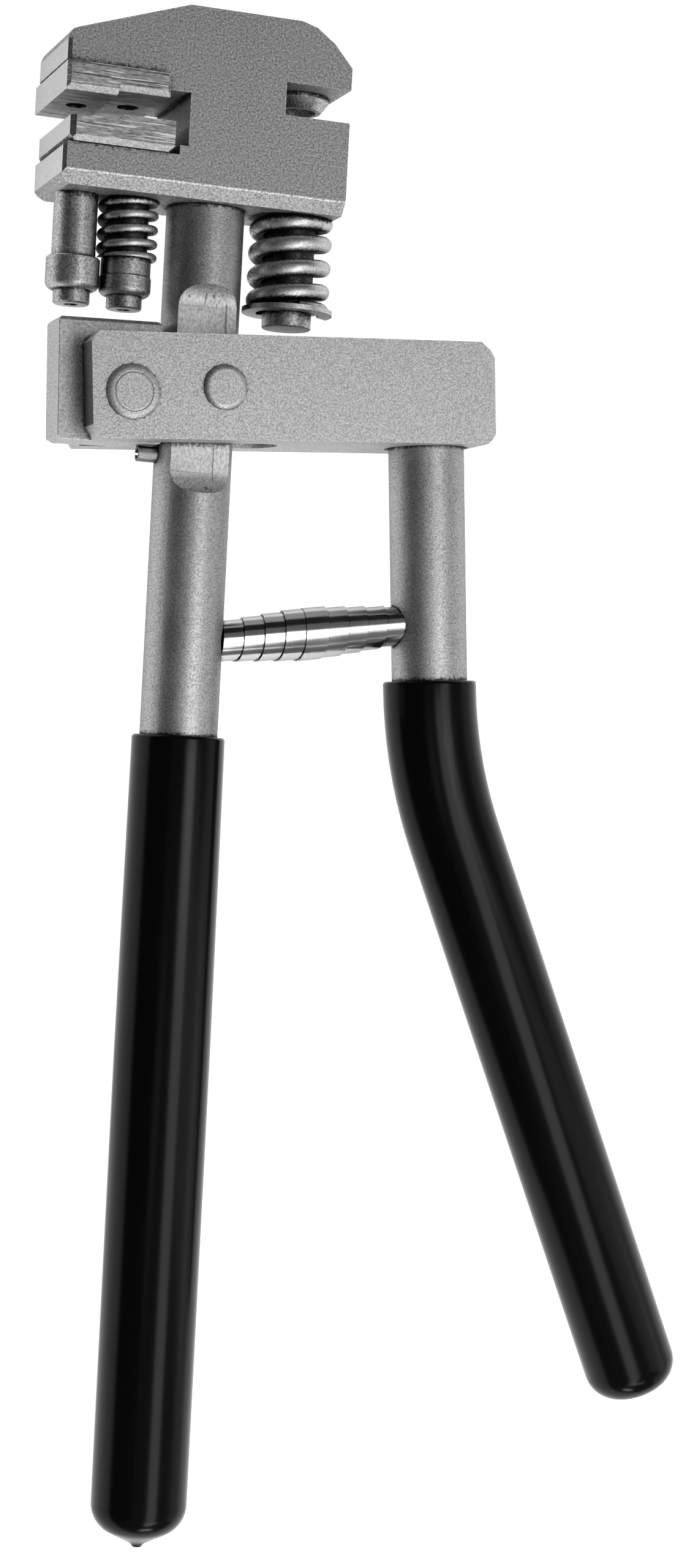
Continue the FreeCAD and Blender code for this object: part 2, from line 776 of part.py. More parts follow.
jaw_screws.Links = screws

# Lower jaw

jaw_floor = "(pocket_floor + jaw_play)"
lower_jaw_plate = plate("lower_jaw_plate", [
    ("-head_left + lower_jaw_inset", jaw_floor),
    ("-lower_jaw_right", jaw_floor),
    ("-lower_jaw_right", "lower_jaw_inner_face"),
    ("-lower_step_inner", "lower_jaw_inner_face"),
    ("-lower_step_outer", "lower_jaw_outer_face"),
    ("-head_left + lower_jaw_inset", "lower_jaw_outer_face"),
], "jaw_depth")
dress(lower_jaw_plate, "Chamfer", "lower_jaw_bevels", "jaw_bevel", lambda bounds: (
    flat_at(bounds, "z", jaw_face, -jaw_face) and bounds.YMax < formula_value(jaw_floor) + size("seat_fit")
))
dress(lower_jaw_plate, "Chamfer", "lower_jaw_edges", "jaw_bevel", lambda bounds: (
    runs_along(bounds, "y") and flat_at(bounds, "z", jaw_face, -jaw_face)
    and near(bounds.XMin, size("lower_jaw_inset") - size("head_left"))
))
lower_jaw = cut("lower_jaw", lower_jaw_plate, *[
    head_bore(f"{side}_tenon_hole", f"-{side}_plunger_place", "tenon_radius + seat_fit",
              f"{jaw_floor} - overrun", f"{jaw_floor} + tenon_length + seat_fit")
    for side in ("outer", "inner")
])

# Plungers with what sits on them


def plunger(side, shoulder):
    """A rod with a turned-down stub below the shoulder and a tenon in the jaw."""
    return turned(f"{side}_plunger", [
        ("centre_hole_radius", "plunger_tip"),
        (f"{side}_stub_radius - tip_chamfer", "plunger_tip"),
        (f"{side}_stub_radius", "plunger_tip + tip_chamfer"),
        (f"{side}_stub_radius", shoulder),
        (f"{side}_rod_radius", shoulder),
        (f"{side}_rod_radius", jaw_floor),
        ("tenon_radius", jaw_floor),
        ("tenon_radius", f"{jaw_floor} + tenon_length"),
        ("0", f"{jaw_floor} + tenon_length"),
        ("0", "plunger_tip + centre_hole_depth"),
        ("centre_hole_radius", "plunger_tip + centre_hole_depth"),
    ])


def ring(name, bore, radius, low, high):
    return turned(name, [(bore, low), (radius, low), (radius, high), (bore, high)])


def round_foot(body, name, amount, radius, low):
    dress(body, "Fillet", name, amount, lambda bounds: (
        flat_at(bounds, "y", size(low)) and near(bounds.XMax, size(radius))
    ))


outer_plunger = plunger("outer", "collar_top")
inner_plunger = plunger("inner", "sleeve_floor")
outer_plunger_collar = ring("outer_plunger_collar", "outer_stub_radius + seat_fit", "collar_radius",
                            "collar_floor", "collar_top")
round_foot(outer_plunger_collar, "collar_foot", "collar_round", "collar_radius", "collar_floor")
dress(outer_plunger_collar, "Chamfer", "collar_head", "tip_chamfer", lambda bounds: (
    flat_at(bounds, "y", size("collar_top")) and near(bounds.XMax, size("collar_radius"))
))
inner_plunger_sleeve = ring("inner_plunger_sleeve", "inner_rod_radius + seat_fit", "sleeve_radius",
                            "sleeve_floor", "sleeve_top")
inner_plunger_nut = ring("inner_plunger_nut", "inner_stub_radius + seat_fit", "nut_radius",
                         "nut_floor", "sleeve_floor")
round_foot(inner_plunger_nut, "nut_foot", "nut_round", "nut_radius", "nut_floor")
dress(inner_plunger_nut, "Chamfer", "nut_head", "nut_edge", lambda bounds: (
    flat_at(bounds, "y", size("sleeve_floor")) and near(bounds.XMax, size("nut_radius"))
))
jaw_return_spring = wire_spring(
    "jaw_return_spring", size("return_wire"), size("return_spring_radius"), size("return_turns"),
    size("return_first_pitch"), size("return_start_turn"), size("sleeve_top"), size("head_floor"))

# Punch, clip and spring

punch = turned("punch", [
    ("0", "punch_foot"),
    ("punch_radius - punch_edge", "punch_foot"),
    ("punch_radius", "punch_foot + punch_edge"),
    ("punch_radius", "clip_seat - seat_fit"),
    ("clip_groove_radius", "clip_seat - seat_fit"),
    ("clip_groove_radius", "clip_seat + clip_thickness + seat_fit"),
    ("punch_radius", "clip_seat + clip_thickness + seat_fit"),
    ("punch_radius", "punch_shoulder"),
    ("punch_tip_radius", "punch_shoulder"),
    ("punch_tip_radius", "punch_tip"),
    ("0", "punch_tip"),
])


def clip_disc(name, radius):
    return round_bar(name, "y", radius, "clip_thickness", y="clip_seat")


def clip_lug(number, turn):
    """One of the three lugs that reach from the clip's rim to the punch's groove."""
    lug = block(f"clip_lug_{number}", ("clip_groove_radius", "clip_lug_reach"),
                ("clip_seat", "clip_seat + clip_thickness"), ("-clip_lug_width / 2", "clip_lug_width / 2"))
    return turned_copy(f"clip_lug_{number}_turned", lug, turn)


def turned_copy(name, piece, turn):
    """The same piece, turned about the Y axis."""
    holder = doc.addObject("Part::Compound", name)
    holder.Links = [piece]
    holder.Placement = FreeCAD.Placement(V(0, 0, 0), FreeCAD.Rotation(V(0, 1, 0), turn))
    return holder


clip_rim = cut(
    "clip_rim",
    clip_disc("clip_blank", "clip_radius"),
    clip_disc("clip_cavity", "clip_cavity_radius"),
)
clip_lugs = []
for number in (1, 2, 3):
    clip_lugs.append(clip_lug(number, size("clip_mouth_turn") + size("clip_lug_turn") * number))
clip_spider = fuse("clip_spider", clip_rim, *clip_lugs)
clip_mouth = turned_copy("clip_mouth_turned", block(
    "clip_mouth", ("0", "clip_radius + overrun"),
    ("clip_seat - overrun", "clip_seat + clip_thickness + overrun"),
    ("-clip_mouth_width / 2", "clip_mouth_width / 2"),
), size("clip_mouth_turn"))
punch_clip = cut(
    "punch_clip",
    clip_spider,
    clip_mouth,
    round_bar("clip_groove_room", "y", "clip_groove_radius + seat_fit", "clip_thickness + 2 * overrun",
              y="clip_seat - overrun"),
)
punch_spring = wire_spring(
    "punch_spring", size("punch_wire"), size("punch_spring_radius"), size("punch_spring_turns"),
    size("punch_first_pitch"), size("punch_start_turn"), size("clip_seat") + size("clip_thickness"),
    size("head_floor"))

# Die button and its screw

die_button = turned("die_button", [
    ("die_bore_radius", "die_face"),
    ("die_face_radius", "die_face"),
    ("die_radius", "die_rim"),
    ("die_radius", "slot_ceiling"),
    ("die_shank_radius", "slot_ceiling"),
    ("die_shank_radius", die_top),
    ("die_bore_radius", die_top),
])
die_screw_start = "punch_place + die_shank_radius + 2 * seat_fit"
die_screw_end = "head_right - die_screw_recess"
die_set_screw = cut(
    "die_set_screw",
    round_bar("die_screw_rod", "x", "die_screw_radius", f"{die_screw_end} - ({die_screw_start})",
              x=die_screw_start, y="die_screw_height"),
    hexagon("die_screw_socket", "x", "die_screw_socket_radius", "die_screw_socket_depth + overrun",
            x=f"{die_screw_end} - die_screw_socket_depth", y="die_screw_height"),
)

# Lever fork, drawn level about the fixed handle's axis

lever_plate = plate("lever_plate", [
    ("-lever_left", "-lever_bottom + left_bottom_cut_height"),
    ("-lever_left + left_bottom_cut_width", "-lever_bottom"),
    ("lever_right - right_bottom_cut_width", "-lever_bottom"),
    ("lever_right", "-lever_bottom + right_bottom_cut_height"),
    ("lever_right", "lever_top - right_top_cut_height"),
    ("lever_right - right_top_cut_width", "lever_top"),
    ("-lever_left + left_top_cut_width", "lever_top"),
    ("-lever_left", "lever_top - left_top_cut_height"),
], "lever_depth")
lever_face = size("lever_depth") / 2
dress(lever_plate, "Chamfer", "lever_end_edges", "lever_edge_chamfer", lambda bounds: (
    runs_along(bounds, "y") and near(bounds.XMax, size("lever_right"))
    and flat_at(bounds, "z", lever_face, -lever_face)
))
slot_round = "(fork_slot_end - fork_slot_half_width)"
lever_height = "lever_top + lever_bottom + 2 * overrun"
lever_fork = cut(
    "lever_fork",
    lever_plate,
    block("fork_slot", ("-lever_left - overrun", slot_round),
          ("-lever_bottom - overrun", "lever_top + overrun"),
          ("-fork_slot_half_width", "fork_slot_half_width")),
    round_bar("fork_slot_round", "y", "fork_slot_half_width", lever_height, x=slot_round,
              y="-lever_bottom - overrun"),
    round_bar("lever_pivot_bore", "z", "pivot_pin_radius + seat_fit", "lever_depth + 2 * overrun",
              x="pivot_place", z="-lever_depth / 2 - overrun"),
    round_bar("lever_pusher_bore", "z", "pusher_pin_radius + seat_fit", "lever_depth + 2 * overrun",
              x="-pusher_pin_place", y="-pusher_pin_sink", z="-lever_depth / 2 - overrun"),
    round_bar("handle_socket", "y", "bar_radius + seat_fit", "handle_socket_depth + overrun",
              x="handle_place", y="-lever_bottom - overrun"),
    cone("socket_mouth", "y", "bar_radius + socket_mouth_chamfer", "bar_radius", "socket_mouth_chamfer",
         x="handle_place", y="-lever_bottom"),
)


def headed_pin(name, radius, head_radius):
    """A pin across the lever with a rounded head on each cheek."""
    face = "lever_depth / 2"
    body = turned(name, [
        ("0", f"-{face} - pin_head_height"),
        (head_radius, f"-{face} - pin_head_height"),
        (head_radius, f"-{face}"),
        (radius, f"-{face}"),
        (radius, face),
        (head_radius, face),
        (head_radius, f"{face} + pin_head_height"),
        ("0", f"{face} + pin_head_height"),
    ], axis="z")
    end = lever_face + size("pin_head_height")
    dress(body, "Fillet", f"{name}_rounds", "pin_head_round", lambda bounds: flat_at(bounds, "z", end, -end))
    return body


pivot_pin = headed_pin("pivot_pin", "pivot_pin_radius", "pivot_head_radius")
pusher_pin = headed_pin("pusher_pin", "pusher_pin_radius", "pusher_pin_head_radius")

# Pusher, drawn level about its own pin

pusher_plate = plate("pusher_plate", [
    ("-pusher_left", "-pusher_bottom + pusher_corner_height"),
    ("-pusher_left + pusher_corner_width", "-pusher_bottom"),
    ("pusher_right", "-pusher_bottom"),
    ("pusher_right", "pusher_top"),
    ("-pusher_left", "pusher_top"),
], "2 * pusher_half_depth")
pusher_face = size("pusher_half_depth")
dress(pusher_plate, "Chamfer", "pusher_top_edges", "pusher_top_chamfer", lambda bounds: (
    flat_at(bounds, "y", size("pusher_top")) and flat_at(bounds, "z", pusher_face, -pusher_face)
))
pusher = cut(
    "pusher",
    pusher_plate,
    round_bar("pusher_bore", "z", "pusher_pin_radius + running_fit", "2 * (pusher_half_depth + overrun)",
              z="-pusher_half_depth - overrun"),
)

# Moving handle and grip, drawn hanging from the point where the tube leaves the lever

bend_reach = "bend_radius * tan(bend_angle * 1 deg / 2)"


def bent_bar(name, radius, top, tail):
    """A round bar along the handle's path: straight, one bend, and straight to the tail."""
    body = doc.addObject("PartDesign::Body", name)
    path = new_sketch(body, f"{name}_path", "XY_Plane")
    slant = ("sin(bend_angle * 1 deg)", "cos(bend_angle * 1 deg)")
    corners = [
        ("0", top),
        ("0", f"{bend_reach} - corner_drop"),
        (f"{bend_reach} * {slant[0]}", f"-corner_drop - {bend_reach} * {slant[1]}"),
        (f"({tail}) * {slant[0]}", f"-corner_drop - ({tail}) * {slant[1]}"),
    ]
    places = [V(formula_value(x), formula_value(y), 0) for x, y in corners]
    centre = V(size("bend_radius"), places[1].y, 0)
    turn = math.radians(size("bend_angle"))
    circle = Part.Circle(centre, V(0, 0, 1), size("bend_radius"))
    path.addGeometry(Part.LineSegment(places[0], places[1]), False)
    path.addGeometry(Part.ArcOfCircle(circle, math.pi, math.pi + turn), False)
    path.addGeometry(Part.LineSegment(places[2], places[3]), False)
    path.addConstraint(Sketcher.Constraint("Coincident", 0, 2, 1, 1))
    path.addConstraint(Sketcher.Constraint("Coincident", 1, 2, 2, 1))
    for (element, end), (x, y) in zip(((0, 1), (0, 2), (1, 2), (2, 2)), corners):
        pin_point(path, element, end, x, y)
    index = path.addConstraint(Sketcher.Constraint("Radius", 1, size("bend_radius")))
    path.setExpression(f"Constraints[{index}]", bound("bend_radius"))
    section = new_sketch(body, f"{name}_section", "XZ_Plane", offset=f"-({top})")
    section.addGeometry(Part.Circle(V(0, 0, 0), V(0, 0, 1), formula_value(radius)), False)
    section.addConstraint(Sketcher.Constraint("Coincident", 0, 3, -1, 1))
    index = section.addConstraint(Sketcher.Constraint("Radius", 0, formula_value(radius)))
    section.setExpression(f"Constraints[{index}]", bound(radius))
    doc.recompute()
    pipe = body.newObject("PartDesign::AdditivePipe", f"{name}_pipe")
    pipe.Profile = section
    pipe.Spine = (path, ["Edge1", "Edge2", "Edge3"])
    doc.recompute()
    return body


handle_top = "handle_socket_depth - seat_fit"
handle_tube = cut(
    "handle_tube",
    bent_bar("handle_bar", "bar_radius", handle_top, "handle_tail"),
    bent_bar("handle_bore", "handle_bore_radius", "handle_socket_depth + overrun", "handle_tail + overrun"),
)
level_handle = FreeCAD.Placement(lever_point(size("handle_place"), -size("lever_bottom")),
                                 FreeCAD.Rotation(V(0, 0, 1), size("open_angle")))
handle_seat = spring_seat("handle_spring_seat", spring_finish, -spring_line)
handle_seat.Placement = level_handle.inverse().multiply(handle_seat.Placement)
moving_handle = cut("moving_handle", handle_tube, handle_seat)

grip_outside = bent_bar("grip_outside", "grip_radius", "-moving_grip_drop", "handle_tail + moving_grip_cap")
ends = grip_outside.Tip.Shape.BoundBox
dress(grip_outside, "Fillet", "moving_grip_end", "grip_end_round", lambda bounds: (
    bounds.YMin < ends.YMin + size("grip_radius") and bounds.YLength < size("grip_radius")
    and bounds.ZLength > size("grip_radius")
))
dress(grip_outside, "Fillet", "moving_grip_top", "grip_top_round", lambda bounds: (
    flat_at(bounds, "y", -size("moving_grip_drop"))
))
moving_grip = cut(
    "moving_grip",
    grip_outside,
    bent_bar("grip_hollow", "bar_radius + seat_fit", "-moving_grip_drop + overrun", "handle_tail + seat_fit"),
)

# Fixed grip

fixed_grip_sleeve = turned("fixed_grip_sleeve", [
    ("bar_radius + seat_fit", "-grip_drop"),
    ("grip_top_radius", "-grip_drop"),
    ("grip_radius", "-grip_drop - grip_taper_length"),
    ("grip_radius", "-bar_drop - grip_shoulder_drop"),
    ("grip_nose_radius", "-bar_drop - grip_cap"),
    ("0", "-bar_drop - grip_cap"),
    ("0", "-bar_drop - seat_fit"),
    ("bar_radius + seat_fit", "-bar_drop - seat_fit"),
])
grip_shoulder = -size("bar_drop") - size("grip_shoulder_drop")
dress(fixed_grip_sleeve, "Fillet", "fixed_grip_end", "grip_end_round", lambda bounds: (
    flat_at(bounds, "y", grip_shoulder) and near(bounds.XMax, size("grip_radius"))
))
dress(fixed_grip_sleeve, "Fillet", "fixed_grip_top", "grip_top_round", lambda bounds: (
    flat_at(bounds, "y", -size("grip_drop")) and near(bounds.XMax, size("grip_top_radius"))
))
fixed_grip = fuse("fixed_grip", fixed_grip_sleeve, cone(
    "drip", "y", "drip_tip_radius", "grip_nose_radius", "drip_height", y="-bar_drop - grip_cap - drip_height"))

# Handle spring


def strip_spring(name):
    """One strip wound to a double cone along +Y, its faces kept level with the spring's axis."""
    length = spring_span - 2 * (size("spring_seat_floor") + size("spring_end_gap"))
    turns = size("spring_turns")
    pitch = length / turns
    width = pitch - size("strip_gap")
    thickness = size("strip_thickness")

    def radius(turn):
        share = 1 - abs(2 * turn / turns - 1)
        rise = size("spring_middle_radius") - size("spring_end_radius")
        return size("spring_end_radius") + rise * share - thickness / 2

    def point(turn, height=0.0):
        angle = 2 * math.pi * turn
        return V(radius(turn) * math.cos(angle), pitch * turn + height, radius(turn) * math.sin(angle))

    centre_line = winding_wire(point, turns)
    corner = point(0)
    outward = V(1, 0, 0) * (thickness / 2)
    up = V(0, 1, 0) * (width / 2)
    corners = [corner - outward - up, corner + outward - up, corner + outward + up, corner - outward + up]
    section = Part.makePolygon(corners + corners[:1])
    shell = Part.BRepOffsetAPI.MakePipeShell(centre_line)
    shell.setBiNormalMode(V(0, 1, 0))
    shell.add(section, False, False)
    shell.build()
    shell.makeSolid()
    solid = shell.shape()
    room = Part.makeCylinder(size("bar_radius"), length, V(0, 0, 0), V(0, 1, 0))
    spring = doc.addObject("Part::Feature", name)
    spring.Shape = solid.common(room).Solids[0]
    edges = [lambda turn: point(turn, -width / 2), lambda turn: point(turn, width / 2)]
    least_gap(name, edges, turns, 0)
    return spring


handle_spring = strip_spring("handle_spring")

# Places: what stands on the head's stations, what turns with the lever, and the spring's line

level = FreeCAD.Rotation(V(0, 0, 1), size("open_angle"))


def station(name, sign):
    return FreeCAD.Placement(V(sign * size(name), 0, 0), FreeCAD.Rotation())


def on_lever(along, across):
    return FreeCAD.Placement(lever_point(along, across), level)


outer_station = station("outer_plunger_place", -1)
inner_station = station("inner_plunger_place", -1)
punch_station = station("punch_place", 1)
at_rest = FreeCAD.Placement()
pusher_spot = lever_point(-size("pusher_pin_place"), -size("pusher_pin_sink"))
pusher_place = FreeCAD.Placement(pusher_spot, FreeCAD.Rotation(V(0, 0, 1), size("pusher_tilt")))
spring_foot = spring_start + spring_line * (size("spring_seat_floor") + size("spring_end_gap"))
spring_place = FreeCAD.Placement(spring_foot, FreeCAD.Rotation(V(0, 1, 0), spring_line))

PIECES = [
    (fixed_handle, at_rest),
    (fixed_grip, at_rest),
    (stop_pin, at_rest),
    (head_retaining_screw, at_rest),
    (head_washer, at_rest),
    (handle_spring, spring_place),
    (head_block, at_rest),
    (upper_jaw, at_rest),
    (jaw_screws, at_rest),
    (die_button, punch_station),
    (die_set_screw, at_rest),
    (jaw_return_spring, inner_station),
    (punch_spring, punch_station),
    (lower_jaw, at_rest),
    (outer_plunger, outer_station),
    (outer_plunger_collar, outer_station),
    (inner_plunger, inner_station),
    (inner_plunger_sleeve, inner_station),
    (inner_plunger_nut, inner_station),
    (punch, punch_station),
    (punch_clip, punch_station),
    (lever_fork, on_lever(0, 0)),
    (pivot_pin, on_lever(size("pivot_place"), 0)),
    (pusher_pin, on_lever(-size("pusher_pin_place"), -size("pusher_pin_sink"))),
    (moving_handle, on_lever(size("handle_place"), -size("lever_bottom"))),
    (moving_grip, on_lever(size("handle_place"), -size("lever_bottom"))),
    (pusher, pusher_place),
]

doc.recompute()
for piece, place in PIECES:
    piece.Label = piece.Name
    piece.Placement = place
doc.recompute()

# The origin lies under the middle of the box around the whole tool
box = FreeCAD.BoundBox()
for piece, place in PIECES:
    box.add(piece.Shape.optimalBoundingBox(False))
shift = V(-box.Center.x, -box.Center.y, -box.ZMin)
for piece, place in PIECES:
    piece.Placement = FreeCAD.Placement(shift, FreeCAD.Rotation()).multiply(place)
doc.recompute()

# Checks, then one file for each piece

for item in doc.Objects:
    if "Invalid" in item.State or "Error" in item.State:
        raise RuntimeError(f"{item.Name} did not build: {item.State}")
os.makedirs("parts", exist_ok=True)
for piece, place in PIECES:
    shape = piece.Shape
    if shape.isNull() or not shape.isValid() or not shape.Solids:
        raise RuntimeError(f"{piece.Label} has no valid solid")
    shape.exportStep(f"parts/{piece.Label}.step")
    bounds = shape.BoundBox
    print(f"{piece.Label}: {len(shape.Solids)} solid(s), {shape.Volume:.1f} mm3, "
          f"x {bounds.XMin:.2f} {bounds.XMax:.2f}, y {bounds.YMin:.2f} {bounds.YMax:.2f}, "
          f"z {bounds.ZMin:.2f} {bounds.ZMax:.2f}")
print(f"origin of the drawing frame: {shift.x:.4f} {shift.y:.4f} {shift.z:.4f}")
print(f"overall: {box.XLength:.2f} x {box.YLength:.2f} x {box.ZLength:.2f} mm")
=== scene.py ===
import json
import math

import bmesh
import bpy
from mathutils import Matrix, Vector

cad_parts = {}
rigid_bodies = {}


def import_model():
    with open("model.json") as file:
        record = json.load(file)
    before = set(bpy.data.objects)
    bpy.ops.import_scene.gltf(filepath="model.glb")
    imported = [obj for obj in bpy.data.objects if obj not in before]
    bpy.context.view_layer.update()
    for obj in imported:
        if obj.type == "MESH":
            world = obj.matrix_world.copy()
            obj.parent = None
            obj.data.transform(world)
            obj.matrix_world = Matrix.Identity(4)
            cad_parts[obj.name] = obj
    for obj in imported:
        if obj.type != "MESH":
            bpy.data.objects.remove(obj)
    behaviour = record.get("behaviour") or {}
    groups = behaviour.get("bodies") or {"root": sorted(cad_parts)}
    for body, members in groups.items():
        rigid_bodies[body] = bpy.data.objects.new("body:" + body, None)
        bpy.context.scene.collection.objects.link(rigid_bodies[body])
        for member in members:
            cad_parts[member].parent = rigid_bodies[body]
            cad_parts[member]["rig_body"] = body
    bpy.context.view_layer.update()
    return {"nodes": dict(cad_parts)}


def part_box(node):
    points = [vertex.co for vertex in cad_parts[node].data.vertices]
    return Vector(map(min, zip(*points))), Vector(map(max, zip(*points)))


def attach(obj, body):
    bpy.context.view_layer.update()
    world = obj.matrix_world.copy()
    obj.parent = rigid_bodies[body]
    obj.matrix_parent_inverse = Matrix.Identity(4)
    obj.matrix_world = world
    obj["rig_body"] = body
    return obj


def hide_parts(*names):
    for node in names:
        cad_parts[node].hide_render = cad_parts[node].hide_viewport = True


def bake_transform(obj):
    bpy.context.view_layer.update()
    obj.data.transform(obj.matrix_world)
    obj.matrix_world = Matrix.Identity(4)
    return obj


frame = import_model()
nodes = frame["nodes"]
mm = 0.001
print("frame loaded:", len(nodes), "nodes")

# The tool is drawn about the fixed handle's axis, and the frame's origin lies elsewhere
toolOrigin = Vector((-53.6421, 101, 17.5)) * mm


# Nodes and colours

# An sRGB hex value, turned to the linear colour that the nodes take
def hexColor(code):
    channels = [int(code[start:start + 2], 16) / 255 for start in (1, 3, 5)]
    linear = [c / 12.92 if c <= 0.04045 else ((c + 0.055) / 1.055) ** 2.4 for c in channels]
    return (*linear, 1.0)


def addNode(tree, kind, links=None, **settings):
    node = tree.nodes.new(kind)
    for name, value in settings.items():
        setattr(node, name, value)
    for name, value in (links or {}).items():
        if isinstance(value, bpy.types.NodeSocket):
            tree.links.new(value, node.inputs[name])
        else:
            node.inputs[name].default_value = value
    return node


def newMaterial(name):
    material = bpy.data.materials.new(name)
    material.use_nodes = True
    material.node_tree.nodes.clear()
    return material, material.node_tree


# Steel: a fine grain and broad patches colour it, painted shade darkens its corners and gaps, with specks of
# old oil at its edge, and wear brightens its edges.
# A real blasted or ground grain is 0.05 to 0.1 mm. Here it is 0.3 to 0.5 mm, because a finer one
# would not show.
# A colour mix takes its share and its two colours at sockets 0, 6 and 7, and gives the colour at output 2.
# "stretch" below 1 draws the grain out along that axis, and "patchShare" says how far the patches colour it.

steelWear = {
    "grainSpread": (0.34, 0.66), "patchSpread": (0.3, 0.7), "scratchFade": 0.06, "tint": "#C0C0C0",
    # Specks, thresholds and darkest colour of the painted shade in corners and gaps, broken by specks of old
    # oil
    "speckMm": 0.8, "speckShare": 0.8, "fullShadeBelow": 1.02, "noShadeAbove": 1.22, "shadeAndOilColor": "#141414",
    "edgeMm": 0.4, "edgeFrom": 0.02, "edgeTo": 0.09, "edgeColor": "#F0F0F0", "lineMm": 0.2,
}


def steelFinish(name, look):
    material, tree = newMaterial(name)
    place = addNode(tree, "ShaderNodeTexCoord").outputs["Object"]
    stretched = addNode(tree, "ShaderNodeMapping", {"Vector": place, "Scale": look["stretch"]})
    grain = addNode(tree, "ShaderNodeTexNoise", {
        "Vector": stretched.outputs["Vector"],
        "Scale": 1 / (look["grainMm"] * mm), "Detail": 3.0, "Roughness": 0.6,
    })
    patches = addNode(tree, "ShaderNodeTexNoise", {
        "Vector": place, "Scale": 1 / (look["patchMm"] * mm), "Detail": 4.0, "Roughness": 0.55,
    })
    low, high = steelWear["grainSpread"]
    spread = addNode(tree, "ShaderNodeMapRange", {
        "Value": grain.outputs["Fac"], "From Min": low, "From Max": high, "To Min": 0.0, "To Max": 1.0,
    })
    tone = addNode(tree, "ShaderNodeMix", {
        "Factor": look["patchShare"], "A": spread.outputs["Result"], "B": patches.outputs["Fac"],
    }, data_type="FLOAT")
    color = addNode(tree, "ShaderNodeMix", {
        0: tone.outputs[0], 6: hexColor(look["dark"]), 7: hexColor(look["light"]),
    }, data_type="RGBA").outputs[2]
    specks = addNode(tree, "ShaderNodeTexNoise", {
        "Vector": place, "Scale": 1 / (steelWear["speckMm"] * mm), "Detail": 2.0,
    })
    if "edgeWear" in look:  # an edge is where the rounded normal leaves the flat one
        rounded = addNode(tree, "ShaderNodeBevel", {"Radius": steelWear["edgeMm"] * mm}, samples=4)
        flat = addNode(tree, "ShaderNodeNewGeometry").outputs["True Normal"]
        turned = addNode(tree, "ShaderNodeVectorMath", {
            0: rounded.outputs[0], 1: flat,
        }, operation="DOT_PRODUCT")
        edge = addNode(tree, "ShaderNodeMapRange", {
            "Value": turned.outputs["Value"],
            "From Min": 1 - steelWear["edgeFrom"], "From Max": 1 - steelWear["edgeTo"],
            "To Min": 0.0, "To Max": look["edgeWear"],
        })
        chipped = addNode(tree, "ShaderNodeMath", {
            0: edge.outputs["Result"], 1: spread.outputs["Result"],
        }, operation="MULTIPLY")
        color = addNode(tree, "ShaderNodeMix", {
            0: chipped.outputs[0], 6: color, 7: hexColor(steelWear["edgeColor"]),
        }, data_type="RGBA").outputs[2]
    # A thin bright line at one level of the tool: rubbed wear, and a painted highlight where that edge
    # catches the light
    if "wornGlintLevel" in look:  # a thin line at this level of the tool, in mm
        level = addNode(tree, "ShaderNodeSeparateXYZ", {"Vector": place}).outputs["Y"]
        line = addNode(tree, "ShaderNodeMath", {
            0: level, 1: toolOrigin.y + look["wornGlintLevel"] * mm, 2: steelWear["lineMm"] * mm,
        }, operation="COMPARE")
        rubbedGlint = addNode(tree, "ShaderNodeMath", {
            0: line.outputs[0], 1: spread.outputs["Result"],
        }, operation="MULTIPLY")
        color = addNode(tree, "ShaderNodeMix", {
            0: rubbedGlint.outputs[0], 6: color, 7: hexColor(steelWear["edgeColor"]),
        }, data_type="RGBA").outputs[2]
    for scratch in look.get("scratches", []):
        along = addNode(tree, "ShaderNodeMapping", {
            "Vector": place, "Scale": scratch["stretch"], "Location": scratch["shift"],
        })
        lines = addNode(tree, "ShaderNodeTexNoise", {
            "Vector": along.outputs["Vector"], "Scale": 1 / (scratch["widthMm"] * mm), "Detail": 1.0,
        })
        deep = addNode(tree, "ShaderNodeMapRange", {
            "Value": lines.outputs["Fac"],
            "From Min": scratch["above"], "From Max": scratch["above"] + steelWear["scratchFade"],
            "To Min": 0.0, "To Max": scratch["share"],
        })
        color = addNode(tree, "ShaderNodeMix", {
            0: deep.outputs["Result"], 6: color, 7: hexColor(scratch["color"]),
        }, data_type="RGBA").outputs[2]
    # Painted shade: ambient occlusion darkens the steel in corners, gaps and hollows where shade falls, and
    # noise breaks its edge into specks of old oil
    cornerShade = addNode(tree, "ShaderNodeAmbientOcclusion", {"Distance": look["shadeReachMm"] * mm}, samples=8)
    broken = addNode(tree, "ShaderNodeMath", {
        0: specks.outputs["Fac"], 1: steelWear["speckShare"], 2: cornerShade.outputs["AO"],
    }, operation="MULTIPLY_ADD")
    shadeAndOil = addNode(tree, "ShaderNodeMapRange", {
        "Value": broken.outputs[0], "From Min": steelWear["fullShadeBelow"], "From Max": steelWear["noShadeAbove"],
        "To Min": look["shadeAndOilShare"], "To Max": 0.0,
    })
    color = addNode(tree, "ShaderNodeMix", {
        0: shadeAndOil.outputs["Result"], 6: color, 7: hexColor(steelWear["shadeAndOilColor"]),
    }, data_type="RGBA").outputs[2]
    low, high = steelWear["patchSpread"]
    smooth, dull = look["roughness"]
    rough = addNode(tree, "ShaderNodeMapRange", {
        "Value": patches.outputs["Fac"], "From Min": low, "From Max": high, "To Min": smooth, "To Max": dull,
    })
    bump = addNode(tree, "ShaderNodeBump", {
        "Height": grain.outputs["Fac"], "Strength": look["bumpStrength"], "Distance": look["bumpMm"] * mm,
    })
    surface = addNode(tree, "ShaderNodeBsdfPrincipled", {
        "Base Color": color, "Roughness": rough.outputs["Result"],
        "Normal": bump.outputs["Normal"], "Metallic": 1.0, "Specular Tint": hexColor(steelWear["tint"]),
    })
    addNode(tree, "ShaderNodeOutputMaterial", {"Surface": surface.outputs["BSDF"]})
    return material


